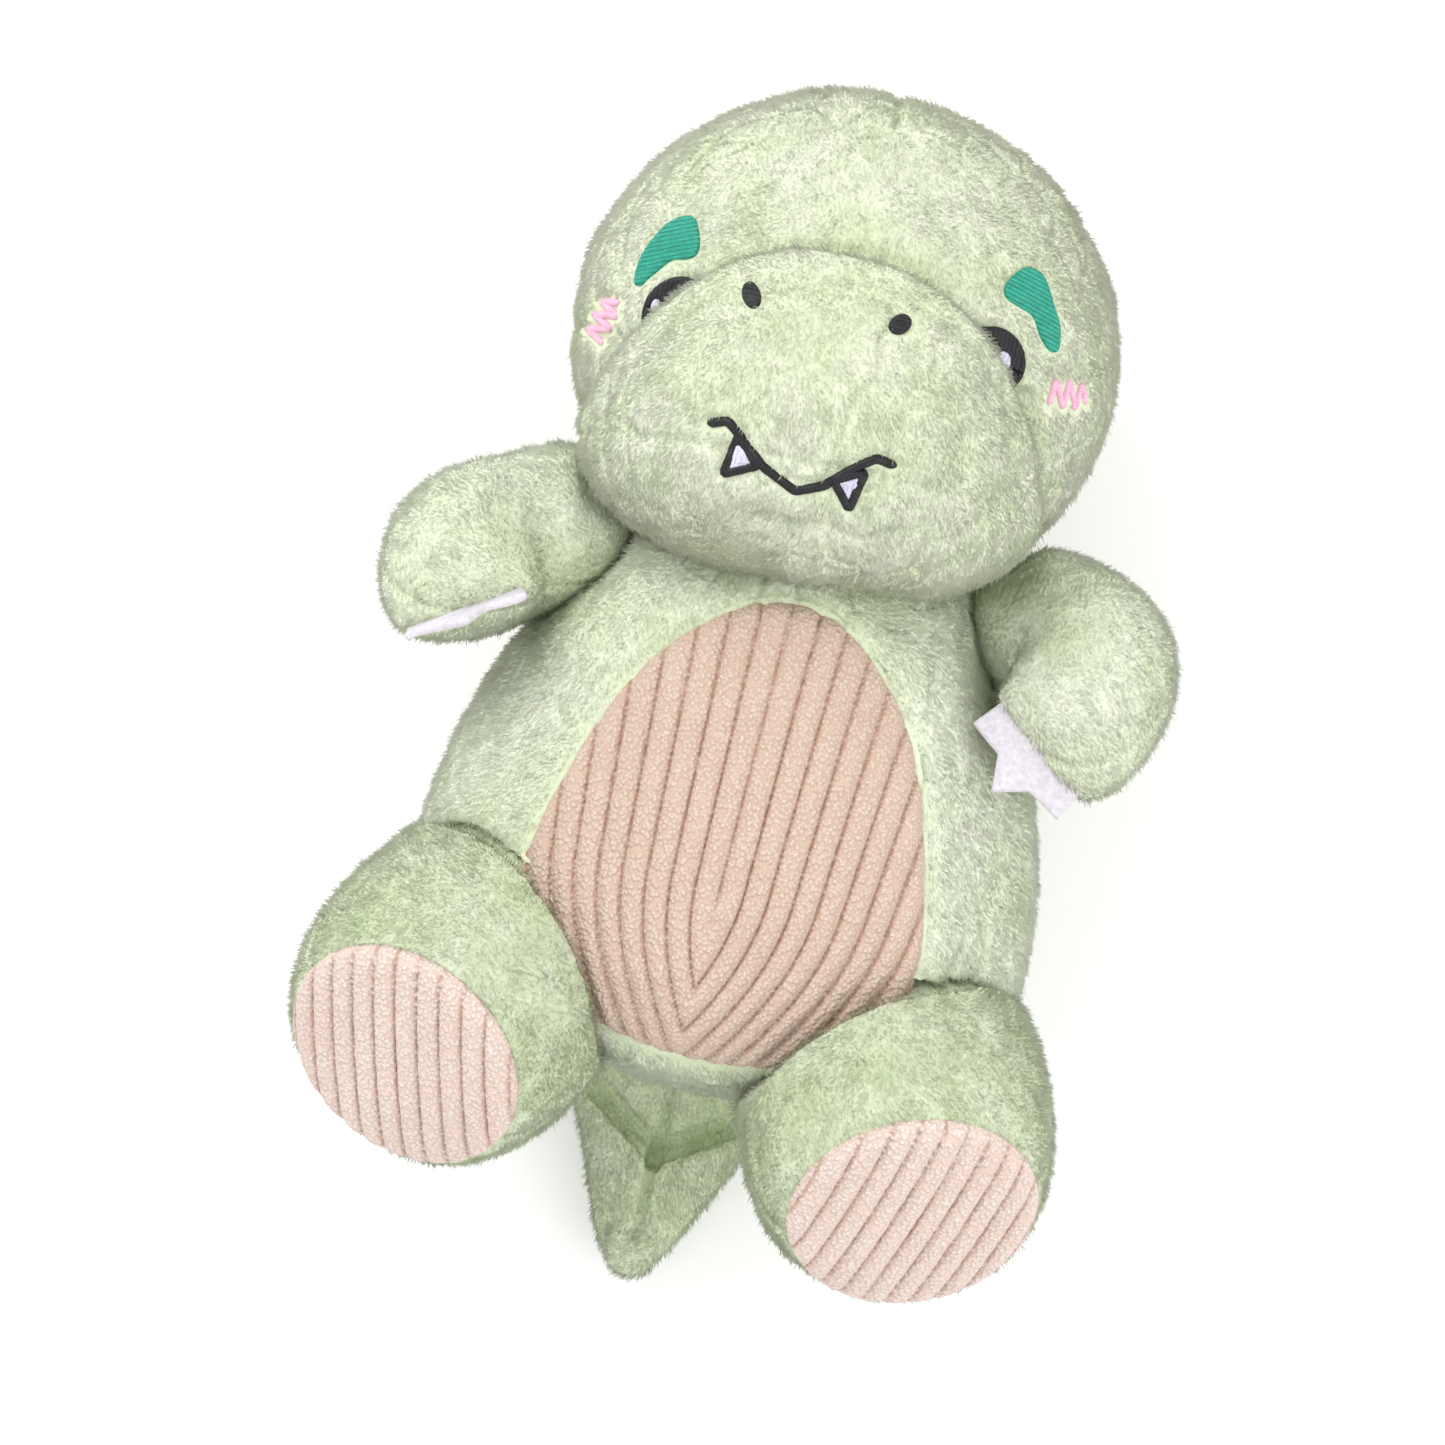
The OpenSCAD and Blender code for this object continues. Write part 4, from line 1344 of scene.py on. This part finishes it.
def patch(name, outline, node_name, slot, grain, seed, rise=0.9, rings=34, count=220, visible=None):
    """A satin-stitched patch: a crowned pad whose threads run across it at the grain angle.

    visible is a point that the muzzle leaves free, for a patch that it may partly cover."""
    line = smooth_outline(outline, count)
    centre, skin_field = line.mean(axis=0), head_field
    if visible is not None:
        centre, skin_field = np.array(visible), cranium_field
        line = trim_to_face(line, centre)
    ca, sa = math.cos(math.radians(grain)), math.sin(math.radians(grain))

    def ridge(q, jitter=0.0):
        across = q[:, 0] * -sa + q[:, 1] * ca + jitter
        return np.abs(np.sin(np.pi * across / THREAD / RIDGE_THREADS))

    def place(xy, height, shaped):
        base = on_skin(xy, visible is not None)
        lift = np.full(len(xy), float(height))
        if shaped:
            roll = np.sqrt(np.clip(np.maximum(inside_distance(xy, line), 0) / 0.9, 0, 1))
            stitch = ridge(xy, 0.25 * noise(base, 1.5, seed))**0.6
            lift += rise * (0.45 + 0.55 * roll) + 0.24 * (stitch - 0.5) - 0.05
        return base + field_normal(base, skin_field) * lift[:, None]

    piece, verts = disc_slab(name, line, centre, rings, place, 0.8, THREADS[slot])
    # Painted shade between the threads.
    paint(piece, "groove", shade_between_threads(ridge(verts)))
    finish_piece(piece, "head", [node_name])


for s, name in enumerate(SIDE_NAME):
    patch("brow_thread_" + name, brow_line(s)[::-1], "brow_" + name,
          "thread_teal", BROW_GRAIN[s], 5 + s)
    patch("eye_thread_" + name, eye_line(s), "eye_" + name,
          "thread_black", 90, 15 + s, rise=1.3, visible=EYE_SEEN[s])
    patch("eye_light_thread_" + name, oval_line(LIGHT_AT[s], LIGHT_HALF[s], 0), "eye_light_" + name,
          "thread_white", 80, 25 + s, rise=1.9, rings=10, count=60, visible=LIGHT_AT[s])
    patch("nostril_thread_" + name, nostril_line(s), "nostril_" + name,
          "thread_black", 0, 35 + s, rings=12, count=80)


RIBBON_STEP, RIBBON_STITCH, RIBBON_SIDES = 0.22, 0.62, 9


def eased(line, times_over):
    """A line with its inner points drawn towards their neighbours."""
    for _ in range(times_over):
        line[1:-1] = 0.5 * line[1:-1] + 0.25 * (line[:-2] + line[2:])
    return line


def tube_faces(start, rows, sides):
    """Faces of a closed tube whose vertices are counted row by row from start."""
    faces = []
    for a in range(start, start + (rows - 1) * sides, sides):
        for k in range(sides):
            nxt = (k + 1) % sides
            faces.append((a + k, a + k + sides, a + nxt + sides, a + nxt))
    last = start + (rows - 1) * sides
    return faces + [tuple(range(start, start + sides)), tuple(range(last, last + sides))[::-1]]


def dense_outline(line, steps):
    """A closed line with points along its edges; steps(length) says how many for an edge."""
    out = []
    for a, b in zip(line, np.roll(line, -1, axis=0)):
        count = steps(np.linalg.norm(b - a))
        out += [a + (b - a) * t for t in np.linspace(0, 1, count, endpoint=False)]
    return np.array(out)


def ribbon(name, paths, width, node_name, slot, rise, seed):
    """Satin stitch along lines: a raised cord of thread with a ridge for every stitch."""
    verts, faces, groove = [], [], []
    for path in paths:
        p = np.asarray(path, float)
        run = length_run(p)
        count = max(int(run[-1] / RIBBON_STEP), 8)
        want = np.linspace(0, run[-1], count)
        mid = path_at(p, run, want)
        taper = np.ones(count)
        if not np.allclose(p[0], p[-1]):
            mid = eased(mid, 6)
            taper = np.sqrt(np.clip(np.minimum(want, run[-1] - want) / (width * 0.5), 0.02, 1))
        base = eased(on_skin(mid), 4)
        up = field_normal(base, head_field)
        side = unit(np.cross(unit(np.gradient(base, axis=0), 1e-9), up), 1e-9)
        stitch = np.abs(np.sin(np.pi * want / RIBBON_STITCH))**0.7
        half = width / 2 * taper * (0.94 + 0.12 * stitch + 0.05 * noise(base, 0.9, seed))
        start = sum(len(v) for v in verts)
        rows = []
        for k in range(RIBBON_SIDES):
            a = math.pi * 2 * k / RIBBON_SIDES
            rows.append(base + side * (half * math.cos(a))[:, None]
                        + up * (math.sin(a) * rise * (0.85 + 0.15 * stitch) * taper + 0.1)[:, None])
        verts.append(np.stack(rows, axis=1).reshape(-1, 3))
        # Painted shade between the stitches.
        groove.append(np.repeat(shade_between_threads(stitch), RIBBON_SIDES))
        faces += tube_faces(start, count, RIBBON_SIDES)
    piece = mixed_mesh(name, np.concatenate(verts), faces, THREADS[slot])
    paint(piece, "groove", np.concatenate(groove))
    finish_piece(piece, "head", [node_name])


ribbon("mouth_thread", [MOUTH] + FANG_EDGES, 1.95, "mouth_line", "thread_black", 0.9, 50)


for s, name in enumerate(SIDE_NAME):
    ribbon("blush_thread_" + name, [blush_line(s)], 1.6, "blush_" + name,
           "thread_pink", 0.7, 60 + s)


def make_fangs():
    def ridge(q):
        return np.abs(np.sin(np.pi * q[:, 0] / 0.9))

    def place(xy, height, shaped):
        base = on_skin(xy)
        lift = height + (0.5 + 0.12 * ridge(xy) if shaped else np.zeros(len(xy)))
        return base + field_normal(base, head_field) * lift[:, None]

    parts = []
    for k, fang in enumerate(FANGS):
        line = np.array(fang)
        order = line if np.cross(line[1] - line[0], line[2] - line[0]) > 0 else line[::-1]
        made, verts = disc_slab("fang_part_%d" % k, dense_outline(order, lambda length: 4),
                                line.mean(axis=0), 8, place, 0.8, THREADS["thread_white"])
        # Painted shade between the threads.
        paint(made, "groove", shade_between_threads(ridge(verts)))
        parts.append(made)
    bpy.ops.object.select_all(action="DESELECT")
    for part in parts:
        part.select_set(True)
    bpy.context.view_layer.objects.active = parts[0]
    bpy.ops.object.join()
    parts[0].name = "fangs_thread"
    finish_piece(parts[0], "head", ["fangs"])


make_fangs()


# --- claws
CLAW_STRIP, CLAW_SHEET, CLAW_ROOT, CLAW_LENGTH, CLAWS = 25.0, 1.6, 5.0, 14.0, 3
CLAW_FOLD = (-30.0, 6.0)
CLAW_BASE, CLAW_SPAN, CLAW_VALLEY = 2.0, 110.0, 0.78


def aim(d):
    theta = math.degrees(math.acos(d[2] / np.linalg.norm(d)))
    phi = math.degrees(math.atan2(d[1], d[0]))
    return rotation(phi, "z") @ rotation(theta, "y")


def make_claws(s):
    """A strip of felt cut into claws that fan out of the hand."""
    name = SIDE_NAME[s]
    line = [(CLAW_STRIP / 2, -CLAW_ROOT), (-CLAW_STRIP / 2, -CLAW_ROOT), (-CLAW_STRIP / 2, 0)]
    for k in range(CLAWS * 2 - 1):
        angle = math.radians(CLAW_SPAN * (k / 2 / (CLAWS - 1) - 0.5))
        reach = CLAW_LENGTH + CLAW_BASE if k % 2 == 0 else CLAW_LENGTH * CLAW_VALLEY
        line.append((reach * math.sin(angle), reach * math.cos(angle) - CLAW_BASE))
    line = np.array(line + [(CLAW_STRIP / 2, 0)])
    dense = dense_outline(line, lambda length: max(int(length / 0.7), 2))
    inward = unit(dense.mean(axis=0) - dense)
    half = CLAW_SHEET / 2
    verts = []
    for z, inset in ((-half, 0.55), (-half * 0.6, 0.12), (0.0, 0.0), (half * 0.6, 0.12),
                     (half, 0.55)):
        xy = dense + inward * inset
        wave = 0.35 * np.sin(xy[:, 0] * 0.45) * smooth(-2, 8, xy[:, 1])
        verts.append(np.column_stack([xy, z + wave]))
    turn = (aim(ARM_END[s] - ARM_BEND[s]) @ rotation(CLAW_FOLD[s], "y")
            @ rotation(90, "z") @ rotation(90, "x"))
    verts = flipped(np.concatenate(verts) @ turn.T + ARM_END[s], s)
    faces = [face if s == LEFT else face[::-1] for face in tube_faces(0, 5, len(dense))]
    piece = mixed_mesh("claws_felt_" + name, verts, faces, FELT)
    finish_piece(piece, "arm_" + name, ["claws_" + name])


make_claws(LEFT)
make_claws(RIGHT)
